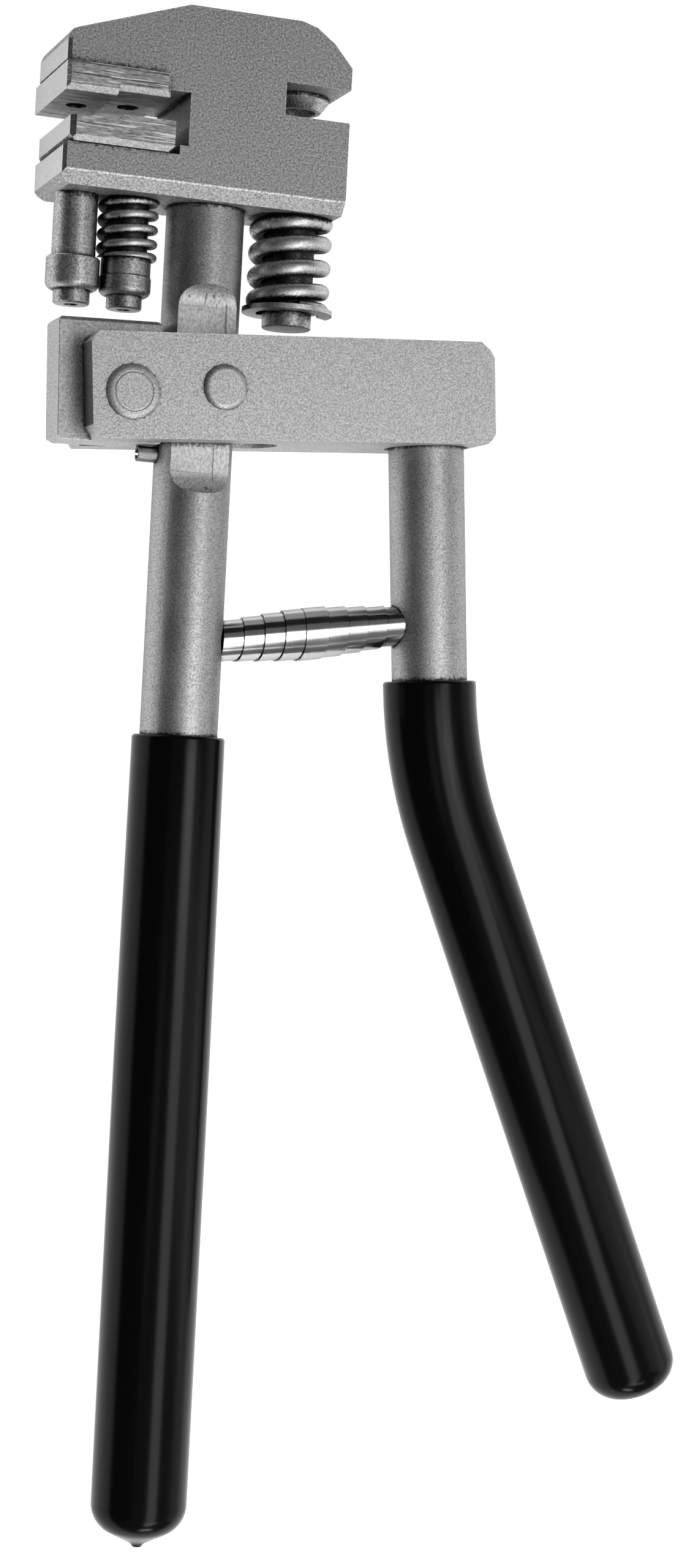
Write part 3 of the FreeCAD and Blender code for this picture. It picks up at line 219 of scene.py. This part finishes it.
# Alloy steel, glass-bead blasted: a matt, even grain that shows no direction
headLook = {
    "dark": "#6E6E70", "light": "#D6D6D7", "grainMm": 0.5, "stretch": (1, 1, 1),
    "patchMm": 22, "patchShare": 0.25, "roughness": (0.52, 0.6),
    "bumpStrength": 0.7, "bumpMm": 0.1,
    "shadeReachMm": 2.5, "shadeAndOilShare": 0.85, "edgeWear": 0.9,
}
headSteel = steelFinish("beadBlastedSteel", headLook)
# The same on the head's lower bevels, with a thin bright line along their upper edge: rubbed wear, and a
# painted highlight where that edge catches the low light
rubbedGlintSteel = steelFinish("rubbedEdgeGlintSteel", {**headLook, "wornGlintLevel": 49.95})
# The same steel, blasted finer, on the lever and its pins; its lighter colour is painted light, for more
# light reaches the lever than the head
litLeverSteel = steelFinish("fineBlastedLitSteel", {
    "dark": "#88888A", "light": "#E6E6E6", "grainMm": 0.45, "stretch": (1, 1, 1),
    "patchMm": 25, "patchShare": 0.3, "roughness": (0.5, 0.58),
    "bumpStrength": 0.6, "bumpMm": 0.08,
    "shadeReachMm": 1.4, "shadeAndOilShare": 0.85, "edgeWear": 0.4,
})
# Tool steel, surface ground along the jaw: fine parallel lines that stretch each highlight
jawSteel = steelFinish("groundToolSteel", {
    "dark": "#78787A", "light": "#CECECE", "grainMm": 0.4, "stretch": (0.3, 1, 1),
    "patchMm": 14, "patchShare": 0.2, "roughness": (0.42, 0.52),
    "bumpStrength": 0.6, "bumpMm": 0.06,
    "shadeReachMm": 2.5, "shadeAndOilShare": 0.8, "edgeWear": 0.5,
    "scratches": [
        {
            "widthMm": 0.7, "stretch": (0.015, 1, 1), "shift": (0, 0, 0),
            "above": 0.58, "share": 0.7, "color": "#303030",
        },
        {
            "widthMm": 0.45, "stretch": (0.04, 1, 1), "shift": (3, 5, 1),
            "above": 0.58, "share": 0.8, "color": "#FFFFFF",
        },
    ],
})
# The left sides of head and jaws: a lighter copy of the blasted steel, painted light where the light falls on
# them from the left
litSideSteel = steelFinish("paintedLightSideSteel", {
    "dark": "#C4C4C4", "light": "#EAEAEA", "grainMm": 0.45, "stretch": (1, 1, 1),
    "patchMm": 20, "patchShare": 0.3, "roughness": (0.5, 0.58),
    "bumpStrength": 0.4, "bumpMm": 0.06,
    "shadeReachMm": 1.2, "shadeAndOilShare": 0.15,
})
# The upright chamfers on the left and the end of the lever: a darker copy of the steel, painted shade where
# these faces turn from the light
shadedChamferSteel = steelFinish("paintedShadeChamferSteel", {
    "dark": "#3C3C3E", "light": "#8C8C8E", "grainMm": 0.5, "stretch": (1, 1, 1),
    "patchMm": 12, "patchShare": 0.4, "roughness": (0.5, 0.58),
    "bumpStrength": 0.6, "bumpMm": 0.08,
    "shadeReachMm": 2.5, "shadeAndOilShare": 0.85,
})
# The jaws' lower bevels and the pusher: a paler copy of the steel, painted light on the bevels that face the
# low light and on the pusher's face, which lies in shade between the cheeks
litBevelSteel = steelFinish("paintedLightBevelSteel", {
    "dark": "#9C9C9E", "light": "#E4E4E4", "grainMm": 0.5, "stretch": (1, 1, 1),
    "patchMm": 9, "patchShare": 0.2, "roughness": (0.5, 0.58),
    "bumpStrength": 0.6, "bumpMm": 0.08,
    "shadeReachMm": 1.0, "shadeAndOilShare": 0.5,
})
# Hardened rod, tumbled and oiled: dark, with a fine speckle
rodSteel = steelFinish("tumbledRodSteel", {
    "dark": "#646466", "light": "#E6E6E6", "grainMm": 0.5, "stretch": (1, 1, 1),
    "patchMm": 6, "patchShare": 0.3, "roughness": (0.36, 0.48),
    "bumpStrength": 0.7, "bumpMm": 0.1,
    "shadeReachMm": 3.0, "shadeAndOilShare": 0.9,
})
# Cold-drawn bar, blasted lightly: satin, with a fine even grain
barSteel = steelFinish("satinBarSteel", {
    "dark": "#78787A", "light": "#D2D2D3", "grainMm": 0.42, "stretch": (1, 1, 1),
    "patchMm": 16, "patchShare": 0.3, "roughness": (0.44, 0.52),
    "bumpStrength": 0.6, "bumpMm": 0.09,
    "shadeReachMm": 1.6, "shadeAndOilShare": 0.9,
})
# The bar's milled flats: bare and bright, with scratches along the bar
flatSteel = steelFinish("milledFlatSteel", {
    "dark": "#A2A2A4", "light": "#E8E8E8", "grainMm": 0.5, "stretch": (1, 0.5, 1),
    "patchMm": 9, "patchShare": 0.25, "roughness": (0.5, 0.6),
    "bumpStrength": 0.6, "bumpMm": 0.08,
    "shadeReachMm": 2.0, "shadeAndOilShare": 0.8,
    "scratches": [
        {
            "widthMm": 0.9, "stretch": (1, 0.02, 1), "shift": (0, 0, 0),
            "above": 0.64, "share": 0.6, "color": "#3A3A3A",
        },
    ],
})
# Polished spring strip: nearly a mirror, with hairlines along the strip
stripSteel = steelFinish("polishedStripSteel", {
    "dark": "#B4B4B5", "light": "#CFCFCF", "grainMm": 0.5, "stretch": (1, 1, 1),
    "patchMm": 9, "patchShare": 0.6, "roughness": (0.12, 0.2),
    "bumpStrength": 0.08, "bumpMm": 0.02,
    "shadeReachMm": 1.0, "shadeAndOilShare": 0.7,
})
# Oil-tempered spring wire: satin, dark below and light where the lamp strikes its top
wireSteel = steelFinish("oilTemperedWire", {
    "dark": "#9C9C9E", "light": "#F2F2F2", "grainMm": 0.5, "stretch": (1, 1, 1),
    "patchMm": 5, "patchShare": 0.4, "roughness": (0.4, 0.5),
    "bumpStrength": 0.5, "bumpMm": 0.06,
    "shadeReachMm": 3.5, "shadeAndOilShare": 0.95,
})
# Turned pin steel, bright and clean
pinSteel = steelFinish("turnedPinSteel", {
    "dark": "#6C6C6E", "light": "#A6A6A6", "grainMm": 0.3, "stretch": (0.1, 1, 1),
    "patchMm": 5, "patchShare": 0.3, "roughness": (0.4, 0.5),
    "bumpStrength": 0.15, "bumpMm": 0.02,
    "shadeReachMm": 1.0, "shadeAndOilShare": 0.9,
})
# The rods' faced ends, turned bright
endSteel = steelFinish("facedEndSteel", {
    "dark": "#D0D0D0", "light": "#FAFAFA", "grainMm": 0.45, "stretch": (1, 1, 1),
    "patchMm": 4, "patchShare": 0.3, "roughness": (0.45, 0.55),
    "bumpStrength": 0.3, "bumpMm": 0.04,
    "shadeReachMm": 1.0, "shadeAndOilShare": 0.7,
})
# Black oxide on alloy screws: nearly black, with a dull oily shine
screwSteel = steelFinish("blackOxideSteel", {
    "dark": "#141415", "light": "#2E2E30", "grainMm": 0.4, "stretch": (1, 1, 1),
    "patchMm": 4, "patchShare": 0.4, "roughness": (0.35, 0.5),
    "bumpStrength": 0.2, "bumpMm": 0.02,
    "shadeReachMm": 2.0, "shadeAndOilShare": 0.8,
})
print("steel finishes made")


# Dipped vinyl: soft black plastic that set from a liquid, so it is glossy with slow, shallow waves
dipLook = {
    "color": "#050505", "pale": "#0A0A0B", "waveMm": 18, "stretch": (1, 0.35, 1), "waveDepthMm": 0.12,
    "waveStrength": 0.5, "roughness": 0.2, "ior": 1.5, "gloss": 0.12,
}


def dippedVinyl(look):
    material, tree = newMaterial("dippedVinyl")
    place = addNode(tree, "ShaderNodeTexCoord").outputs["Object"]
    along = addNode(tree, "ShaderNodeMapping", {"Vector": place, "Scale": look["stretch"]})
    waves = addNode(tree, "ShaderNodeTexNoise", {
        "Vector": along.outputs["Vector"], "Scale": 1 / (look["waveMm"] * mm), "Detail": 1.0,
    })
    color = addNode(tree, "ShaderNodeMix", {
        0: waves.outputs["Fac"], 6: hexColor(look["color"]), 7: hexColor(look["pale"]),
    }, data_type="RGBA").outputs[2]
    bump = addNode(tree, "ShaderNodeBump", {
        "Height": waves.outputs["Fac"],
        "Strength": look["waveStrength"], "Distance": look["waveDepthMm"] * mm,
    })
    surface = addNode(tree, "ShaderNodeBsdfPrincipled", {
        "Base Color": color, "Roughness": look["roughness"], "Normal": bump.outputs["Normal"],
        "IOR": look["ior"], "Specular IOR Level": look["gloss"],
    })
    addNode(tree, "ShaderNodeOutputMaterial", {"Surface": surface.outputs["BSDF"]})
    return material


gripVinyl = dippedVinyl(dipLook)
print("vinyl made")


# Pieces that keep the CAD shape, with merged corners, smooth rounds and a broken edge

edgeLook = {"segments": 2, "sharpAngle": 30, "springSharpAngle": 40, "mergeMm": 0.001, "flatAngle": 0.4}
finishes = {  # each node's steel or vinyl, and the width of its broken edges in mm
    "head_block": (headSteel, 0.2), "lever_fork": (litLeverSteel, 0.35), "pusher": (litBevelSteel, 0.25),
    "upper_jaw": (jawSteel, 0.1), "lower_jaw": (jawSteel, 0.1),
    "fixed_handle": (barSteel, 0.2), "moving_handle": (barSteel, 0),
    "outer_plunger": (rodSteel, 0.1), "outer_plunger_collar": (rodSteel, 0),
    "inner_plunger": (rodSteel, 0.1), "inner_plunger_sleeve": (rodSteel, 0.15),
    "inner_plunger_nut": (rodSteel, 0), "punch": (rodSteel, 0), "die_button": (rodSteel, 0.1),
    "punch_clip": (wireSteel, 0.12), "stop_pin": (pinSteel, 0.1),
    "jaw_screws": (screwSteel, 0.1), "die_set_screw": (screwSteel, 0.1),
    "head_retaining_screw": (screwSteel, 0.1), "head_washer": (screwSteel, 0.1),
    "fixed_grip": (gripVinyl, 0), "moving_grip": (gripVinyl, 0),
}


def dressNode(nodeName, material, edgeWidth):
    cad = nodes[nodeName]
    cad.material_slots[0].material = material
    mesh = cad.data.copy()
    if "custom_normal" in mesh.attributes:
        mesh.attributes.remove(mesh.attributes["custom_normal"])
    mesh.materials.clear()
    mesh.materials.append(material)
    piece = bpy.data.objects.new(nodeName + "Finished", mesh)
    bpy.context.scene.collection.objects.link(piece)
    shape = bmesh.new()
    shape.from_mesh(mesh)
    bmesh.ops.remove_doubles(shape, verts=shape.verts, dist=edgeLook["mergeMm"] * mm)
    bmesh.ops.dissolve_limit(
        shape, angle_limit=math.radians(edgeLook["flatAngle"]), verts=shape.verts, edges=shape.edges)
    for face in shape.faces:
        face.smooth = True
    shape.to_mesh(mesh)
    shape.free()
    mesh.set_sharp_from_angle(angle=math.radians(edgeLook["sharpAngle"]))
    if edgeWidth:
        bevel = piece.modifiers.new("brokenEdge", "BEVEL")
        bevel.width = edgeWidth * mm
        bevel.segments = edgeLook["segments"]
        bevel.limit_method = "ANGLE"
        bevel.angle_limit = math.radians(edgeLook["sharpAngle"])
        bevel.harden_normals = True
    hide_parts(nodeName)
    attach(piece, cad["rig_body"])
    return piece


pieces = {name: dressNode(name, *finish) for name, finish in finishes.items()}


# Faces with a finish of their own, chosen by their place about the tool's origin in mm and the way they face

def finishFaces(piece, material, chosen):
    piece.data.materials.append(material)
    for face in piece.data.polygons:
        if chosen((face.center - toolOrigin) / mm, face.normal):
            face.material_index = len(piece.data.materials) - 1


# The two milled flats and the round run-outs at their ends, where the fork's cheeks pass the bar
flatLook = {"halfWidth": 6.4, "reach": 28, "barRadius": 10, "slack": 0.01, "runOutTilt": 0.05}


def onFlats(place, normal):
    onBar = abs(place.y) < flatLook["reach"] and abs(place.z) < flatLook["barRadius"]
    level = abs(abs(place.z) - flatLook["halfWidth"]) < flatLook["slack"]
    runOut = abs(normal.y) > flatLook["runOutTilt"] and abs(normal.x) < flatLook["slack"]
    return onBar and (level or runOut)


# The left sides of head and jaws lie beyond sideLeft, and the chamfers and the lever's end beyond endLeft
faceLook = {"sideLeft": -30, "endLeft": -20, "headFloor": 50, "straight": 0.99, "facing": 0.9}


def onLeftSide(place, normal):
    return normal.x < -faceLook["straight"] and place.x < faceLook["sideLeft"]


def onFloorBevel(place, normal):
    return -0.7 < normal.y < -0.5 and place.y < faceLook["headFloor"]


def onLeftChamfer(place, normal):
    upright = abs(normal.y) < 0.2 and abs(normal.z) > 0.3
    return upright and -faceLook["facing"] < normal.x < -0.3 and place.x < faceLook["endLeft"]


def onLeverEnd(place, normal):
    return normal.x < -faceLook["facing"] and place.x < faceLook["endLeft"]


def onJawBevel(place, normal):
    return -0.95 < normal.y < -0.2 and normal.z > 0.2


def onRodEnd(place, normal):
    return normal.y < -faceLook["straight"]


# Some finishes here are lighter or darker copies of the steel, chosen by the way faces turn: painted light on
# the left sides and the jaws' lower bevels, painted shade on the left chamfers and the lever's end, and on
# the head's bevels rubbed wear with a painted highlight
for nodeNames, material, chosen in (
    (("fixed_handle",), flatSteel, onFlats),
    (("head_block", "upper_jaw", "lower_jaw"), litSideSteel, onLeftSide),
    (("head_block",), rubbedGlintSteel, onFloorBevel),
    (("head_block", "lower_jaw"), shadedChamferSteel, onLeftChamfer),
    (("lever_fork",), shadedChamferSteel, onLeverEnd),
    (("upper_jaw", "lower_jaw"), litBevelSteel, onJawBevel),
    (("outer_plunger", "inner_plunger", "punch"), endSteel, onRodEnd),
):
    for nodeName in nodeNames:
        finishFaces(pieces[nodeName], material, chosen)


# The lever's two pins: broad heads with a wide round, and a lathe mark on the larger one

def turnedPin(nodeName, look, material):
    low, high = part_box(nodeName)
    middle = (low + high) / 2
    half = (high.z - low.z) / 2 / mm
    flat = look["headRadius"] - look["roundWidth"]
    keptFlat, markStart, markBottom = (flat - inset for inset in look["markInsets"])
    outline = [(0, half), (keptFlat, half), (markStart, half), (markBottom, half - look["markDepth"])]
    for step in range(look["roundSteps"] + 1):
        turn = math.radians(90 * step / look["roundSteps"])
        outline.append((
            flat + look["roundWidth"] * math.sin(turn),
            half - look["headHeight"] * (1 - math.cos(turn)),
        ))
    outline.append((look["shankRadius"], half - look["headHeight"]))
    outline += [(radius, -level) for radius, level in reversed(outline)]
    shape = bmesh.new()
    verts = [
        bmesh.ops.create_vert(shape, co=Vector((radius, 0, level)) * mm)["vert"][0]
        for radius, level in outline
    ]
    for pair in zip(verts, verts[1:]):
        bmesh.ops.contextual_create(shape, geom=pair)
    bmesh.ops.spin(
        shape, geom=list(shape.verts) + list(shape.edges), cent=(0, 0, 0), axis=(0, 0, 1),
        angle=2 * math.pi, steps=look["sides"], use_merge=True)
    bmesh.ops.remove_doubles(shape, verts=shape.verts, dist=look["mergeMm"] * mm)
    bmesh.ops.recalc_face_normals(shape, faces=shape.faces)
    bmesh.ops.translate(shape, verts=shape.verts, vec=middle)
    for face in shape.faces:
        face.smooth = True
    mesh = bpy.data.meshes.new(nodeName + "Turned")
    shape.to_mesh(mesh)
    shape.free()
    mesh.set_sharp_from_angle(angle=math.radians(edgeLook["sharpAngle"]))
    mesh.materials.append(material)
    nodes[nodeName].material_slots[0].material = material
    piece = bpy.data.objects.new(nodeName + "Turned", mesh)
    bpy.context.scene.collection.objects.link(piece)
    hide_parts(nodeName)
    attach(piece, nodes[nodeName]["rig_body"])


pivotPinLook = {
    "headRadius": 5.7, "headHeight": 1.1, "roundWidth": 1.5, "roundSteps": 10,
    "shankRadius": 3.75, "markInsets": (0.7, 0.5, 0.2), "markDepth": 0.02, "sides": 72, "mergeMm": 0.0001,
}
pusherPinLook = {
    "headRadius": 6.9, "headHeight": 1.1, "roundWidth": 1.8, "roundSteps": 10,
    "shankRadius": 4.5, "markInsets": (0.7, 0.5, 0.2), "markDepth": 0.12, "sides": 72, "mergeMm": 0.0001,
}
turnedPin("pivot_pin", pivotPinLook, litLeverSteel)
turnedPin("pusher_pin", pusherPinLook, litLeverSteel)
print("rigid pieces finished:", len(finishes))


# Round-wire springs, wound a step at a time: close at the ends, open between them, and ground flat

def roundSpring(name, look, material):
    shape = bmesh.new()
    radius = look["outerRadius"] - look["wire"] / 2
    ring = bmesh.ops.create_circle(shape, segments=look["sides"], radius=look["wire"] / 2 * mm)
    turnStart = Matrix.Rotation(math.radians(look["startAngle"]), 4, "Y")
    seat = turnStart @ Matrix.Translation(Vector((radius, look["firstLevel"], 0)) * mm)
    bmesh.ops.transform(shape, matrix=seat, verts=ring["verts"])
    section = list(shape.verts) + list(shape.edges)
    bmesh.ops.contextual_create(shape, geom=list(shape.edges))
    for step in range(round(look["turns"] * look["stepsPerTurn"])):
        turn = (step + 0.5) / look["stepsPerTurn"]
        openness = min(turn, look["turns"] - turn, 1)
        pitch = look["endPitch"] + (look["openPitch"] - look["endPitch"]) * openness
        wound = bmesh.ops.spin(
            shape, geom=section, cent=(0, 0, 0), axis=(0, 1, 0),
            dvec=Vector((0, pitch / look["stepsPerTurn"], 0)) * mm,
            angle=2 * math.pi / look["stepsPerTurn"], steps=1, use_duplicate=False)
        section = wound["geom_last"]
    bmesh.ops.contextual_create(shape, geom=edgesOf(section))
    grindEnds(shape, look["low"], look["high"])
    bmesh.ops.translate(shape, verts=shape.verts, vec=toolOrigin + Vector((look["place"], 0, 0)) * mm)
    return finishSpring(name, shape, material)


def edgesOf(parts):
    return [part for part in parts if isinstance(part, bmesh.types.BMEdge)]


def grindEnds(shape, low, high):
    for level, side in ((low, -1), (high, 1)):
        ground = bmesh.ops.bisect_plane(
            shape, geom=list(shape.verts) + list(shape.edges) + list(shape.faces),
            plane_co=Vector((0, level, 0)) * mm, plane_no=(0, side, 0), clear_outer=True)
        bmesh.ops.holes_fill(shape, edges=edgesOf(ground["geom_cut"]), sides=0)
    bmesh.ops.recalc_face_normals(shape, faces=shape.faces)


def finishSpring(name, shape, material):
    for face in shape.faces:
        face.smooth = True
    mesh = bpy.data.meshes.new(name)
    shape.to_mesh(mesh)
    shape.free()
    mesh.set_sharp_from_angle(angle=math.radians(edgeLook["springSharpAngle"]))
    mesh.materials.append(material)
    piece = bpy.data.objects.new(name, mesh)
    bpy.context.scene.collection.objects.link(piece)
    return piece


punchSpringLook = {
    "wire": 4.2, "outerRadius": 10.8, "low": 23.8, "high": 46.8, "place": 23.2,
    "turns": 4.5, "startAngle": 270, "firstLevel": 23.15, "endPitch": 2.43, "openPitch": 6.15,
    "sides": 24, "stepsPerTurn": 48,
}
punchSpring = roundSpring("punchSpringWound", punchSpringLook, wireSteel)
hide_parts("punch_spring")

returnSpringLook = {
    "wire": 2.2, "outerRadius": 7.75, "low": 31.8, "high": 46.8, "place": -20.3,
    "turns": 4.7, "startAngle": 180, "firstLevel": 31.44, "endPitch": 2.5, "openPitch": 3.6,
    "sides": 20, "stepsPerTurn": 48,
}
returnSpring = roundSpring("returnSpringWound", returnSpringLook, wireSteel)
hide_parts("jaw_return_spring")


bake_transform(punchSpring)
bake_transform(returnSpring)
print("wire springs wound")


# Handle spring: one polished strip wound to a double cone, each larger turn lapping over the smaller one

handleSpringLook = {
    "start": (0, -64.45), "finish": (67.096, -54.297), "seatFloor": 7.8, "turns": 9.5,
    "endRadius": 4.9, "middleRadius": 6.95, "thickness": 0.36, "lap": 0.7, "stepsPerTurn": 48,
    "startAngle": 216,
}


def stripSpring(look):
    start, finish = Vector((*look["start"], 0)), Vector((*look["finish"], 0))
    line = (finish - start).normalized()
    length = (finish - start).length - 2 * look["seatFloor"]
    pitch = length / look["turns"]
    half = (pitch + look["lap"]) / 2
    shape = bmesh.new()
    bmesh.ops.create_grid(shape, x_segments=1, y_segments=1, size=1)
    corner = Matrix.Translation(Vector((look["endRadius"] - look["thickness"] / 2, 0, 0)) * mm)
    widen = Matrix.Diagonal((look["thickness"] / 2 * mm, half * mm, 1, 1))
    bmesh.ops.transform(shape, matrix=corner @ widen, verts=shape.verts)
    startAngle = math.radians(look["startAngle"])
    bmesh.ops.rotate(shape, verts=shape.verts, cent=(0, 0, 0), matrix=Matrix.Rotation(startAngle, 3, "Y"))
    section = list(shape.verts) + list(shape.edges)
    steps = round(look["turns"] * look["stepsPerTurn"])
    grow = 2 * (look["middleRadius"] - look["endRadius"]) / steps
    angle = -2 * math.pi / look["stepsPerTurn"]
    for step in range(steps):
        wound = bmesh.ops.spin(
            shape, geom=section, cent=(0, 0, 0), axis=(0, 1, 0),
            dvec=Vector((0, pitch / look["stepsPerTurn"], 0)) * mm, angle=angle, steps=1, use_duplicate=False)
        section = wound["geom_last"]
        outward = Matrix.Rotation(startAngle + angle * (step + 1), 3, "Y") @ Vector((1, 0, 0))
        side = 1 if step < steps / 2 else -1
        sectionVerts = [part for part in section if isinstance(part, bmesh.types.BMVert)]
        bmesh.ops.translate(shape, verts=sectionVerts, vec=outward * side * grow * mm)
    bmesh.ops.contextual_create(shape, geom=edgesOf(section))
    grindEnds(shape, 0, length)
    turn = Vector((0, 1, 0)).rotation_difference(line).to_matrix().to_4x4()
    seats = (start + line * look["seatFloor"], finish - line * look["seatFloor"])
    ends = [toolOrigin + seat * mm for seat in seats]
    bmesh.ops.transform(shape, matrix=Matrix.Translation(ends[0]) @ turn, verts=shape.verts)
    return finishSpring("handleSpringWound", shape, stripSteel), ends


handleSpring, springSpan = stripSpring(handleSpringLook)
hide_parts("handle_spring")
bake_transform(handleSpring)
print("strip spring wound")


# Floor, light and camera

# White paper to the camera and in the steel, and a plain pale grey to the light, so that it keeps the shadow
floorLook = {"paper": "#C8C8C8", "glow": 0.9, "halfSize": 4}


def buildFloor(look):
    material, tree = newMaterial("paperFloor")
    light = addNode(tree, "ShaderNodeLightPath")
    seen = addNode(tree, "ShaderNodeMath", {
        0: light.outputs["Is Camera Ray"], 1: light.outputs["Is Glossy Ray"],
    }, operation="MAXIMUM")
    seenThrough = addNode(tree, "ShaderNodeMath", {
        0: seen.outputs[0], 1: light.outputs["Is Transmission Ray"],
    }, operation="MAXIMUM")
    paper = addNode(tree, "ShaderNodeBsdfDiffuse", {"Color": hexColor(look["paper"])})
    glow = addNode(tree, "ShaderNodeEmission", {"Color": hexColor("#FFFFFF"), "Strength": look["glow"]})
    both = addNode(tree, "ShaderNodeAddShader", {0: paper.outputs[0], 1: glow.outputs[0]})
    mixed = addNode(tree, "ShaderNodeMixShader", {
        0: seenThrough.outputs[0], 1: paper.outputs[0], 2: both.outputs[0],
    })
    addNode(tree, "ShaderNodeOutputMaterial", {"Surface": mixed.outputs[0]})
    shape = bmesh.new()
    bmesh.ops.create_grid(shape, x_segments=1, y_segments=1, size=look["halfSize"])
    mesh = bpy.data.meshes.new("floorSheet")
    shape.to_mesh(mesh)
    shape.free()
    mesh.materials.append(material)
    floor = bpy.data.objects.new("floorSheet", mesh)
    bpy.context.scene.collection.objects.link(floor)


# White to the camera. The steel mirrors it pale at the horizon and dim above, as in the photograph
def buildWorld(look):
    world = bpy.data.worlds.new("studio")
    world.use_nodes = True
    tree = world.node_tree
    tree.nodes.clear()
    place = addNode(tree, "ShaderNodeTexCoord").outputs["Generated"]
    height = addNode(tree, "ShaderNodeSeparateXYZ", {"Vector": place}).outputs["Z"]
    strength = addNode(tree, "ShaderNodeMapRange", {
        "Value": height, "From Min": look["paleTo"], "From Max": look["dimFrom"],
        "To Min": look["horizon"], "To Max": look["zenith"],
    }, interpolation_type="SMOOTHSTEP")
    light = addNode(tree, "ShaderNodeLightPath")
    seen = addNode(tree, "ShaderNodeMath", {
        0: light.outputs["Is Camera Ray"], 1: light.outputs["Is Transmission Ray"],
    }, operation="MAXIMUM")
    shown = addNode(tree, "ShaderNodeMath", {
        0: strength.outputs["Result"], 1: seen.outputs[0],
    }, operation="MAXIMUM")
    sky = addNode(tree, "ShaderNodeBackground", {"Color": hexColor("#FFFFFF"), "Strength": shown.outputs[0]})
    addNode(tree, "ShaderNodeOutputWorld", {"Surface": sky.outputs["Background"]})
    bpy.context.scene.world = world


# Dark and grey cards that only the steel's reflections see
def buildCard(name, look):
    material, tree = newMaterial(name)
    cloth = addNode(tree, "ShaderNodeBsdfDiffuse", {"Color": hexColor(look["color"])})
    addNode(tree, "ShaderNodeOutputMaterial", {"Surface": cloth.outputs[0]})
    shape = bmesh.new()
    bmesh.ops.create_grid(shape, x_segments=1, y_segments=1, size=0.5)
    stand = Matrix.Translation(look["place"]) @ Matrix.Rotation(math.radians(90), 4, look["turnedAbout"])
    bmesh.ops.transform(shape, matrix=stand @ Matrix.Diagonal((*look["size"], 1, 1)), verts=shape.verts)
    mesh = bpy.data.meshes.new(name)
    shape.to_mesh(mesh)
    shape.free()
    mesh.materials.append(material)
    card = bpy.data.objects.new(name, mesh)
    card.visible_camera = False
    card.visible_diffuse = False
    card.visible_shadow = False
    bpy.context.scene.collection.objects.link(card)


def addLamp(name, look):
    lamp = bpy.data.lights.new(name, "AREA")
    lamp.shape = "RECTANGLE"
    lamp.size, lamp.size_y = look["size"]
    lamp.energy = look["power"]
    holder = bpy.data.objects.new(name, lamp)
    holder.location = look["place"]
    holder.rotation_euler = (Vector(look["aim"]) - Vector(look["place"])).to_track_quat("-Z", "Y").to_euler()
    holder.visible_camera = False
    bpy.context.scene.collection.objects.link(holder)


worldLook = {"horizon": 0.9, "zenith": 0.17, "paleTo": 0.28, "dimFrom": 0.6}
cardLooks = {
    "leftCard": {"color": "#1C1C1C", "place": (-0.6, -0.05, 0.46), "size": (0.9, 1.4), "turnedAbout": "Y"},
    "lowCard": {"color": "#8A8A8A", "place": (0, -0.9, 0.3), "size": (1.8, 0.56), "turnedAbout": "X"},
    "topCard": {"color": "#2C2C2C", "place": (0, 0.9, 0.5), "size": (1.8, 0.8), "turnedAbout": "X"},
}
buildFloor(floorLook)
buildWorld(worldLook)
for cardName, cardLook in cardLooks.items():
    buildCard(cardName, cardLook)
lampLooks = {
    "keyLamp": {"place": (0.04, -0.3, 0.34), "aim": (0.04, -0.3, 0), "size": (0.14, 0.66), "power": 1.08},
    "topLamp": {"place": (0.3, 0.12, 0.97), "aim": (0, 0.1, 0), "size": (0.4, 0.35), "power": 1.3},
    "farLamp": {"place": (0.9, -0.2, 0.8), "aim": (0, 0, 0), "size": (0.4, 1.2), "power": 1.5},
    "lowLamp": {"place": (0.25, -1.0, 0.75), "aim": (0, 0, 0), "size": (0.5, 0.12), "power": 1.0},
    "endLamp": {"place": (0.05, -0.8, 0.2), "aim": (0, -0.3, 0), "size": (0.2, 0.05), "power": 0.6},
    "sideLamp": {"place": (-0.7, -0.3, 0.95), "aim": (0, 0, 0), "size": (0.2, 0.8), "power": 0.3},
}
for lampName, lampLook in lampLooks.items():
    addLamp(lampName, lampLook)

# The camera as fitted to the photograph: its place in mm about the tool's origin, and its turns in radians
cameraLook = {
    "place": (-199.16, -90.92, 679.17), "turns": ((-0.3457, "Y"), (-0.0098, "X"), (0.0523, "Z")),
    "lens": 63.29, "sensor": 36,
}
cameraData = bpy.data.cameras.new("photoCamera")
cameraData.sensor_fit = "VERTICAL"
cameraData.sensor_height = cameraLook["sensor"]
cameraData.lens = cameraLook["lens"]
camera = bpy.data.objects.new("photoCamera", cameraData)
cameraPlace = Matrix.Translation(toolOrigin + Vector(cameraLook["place"]) * mm)
for angle, axis in cameraLook["turns"]:
    cameraPlace = cameraPlace @ Matrix.Rotation(angle, 4, axis)
camera.matrix_world = cameraPlace
bpy.context.scene.collection.objects.link(camera)
bpy.context.scene.camera = camera
bpy.context.scene.view_settings.view_transform = "Standard"
print("camera and light placed")
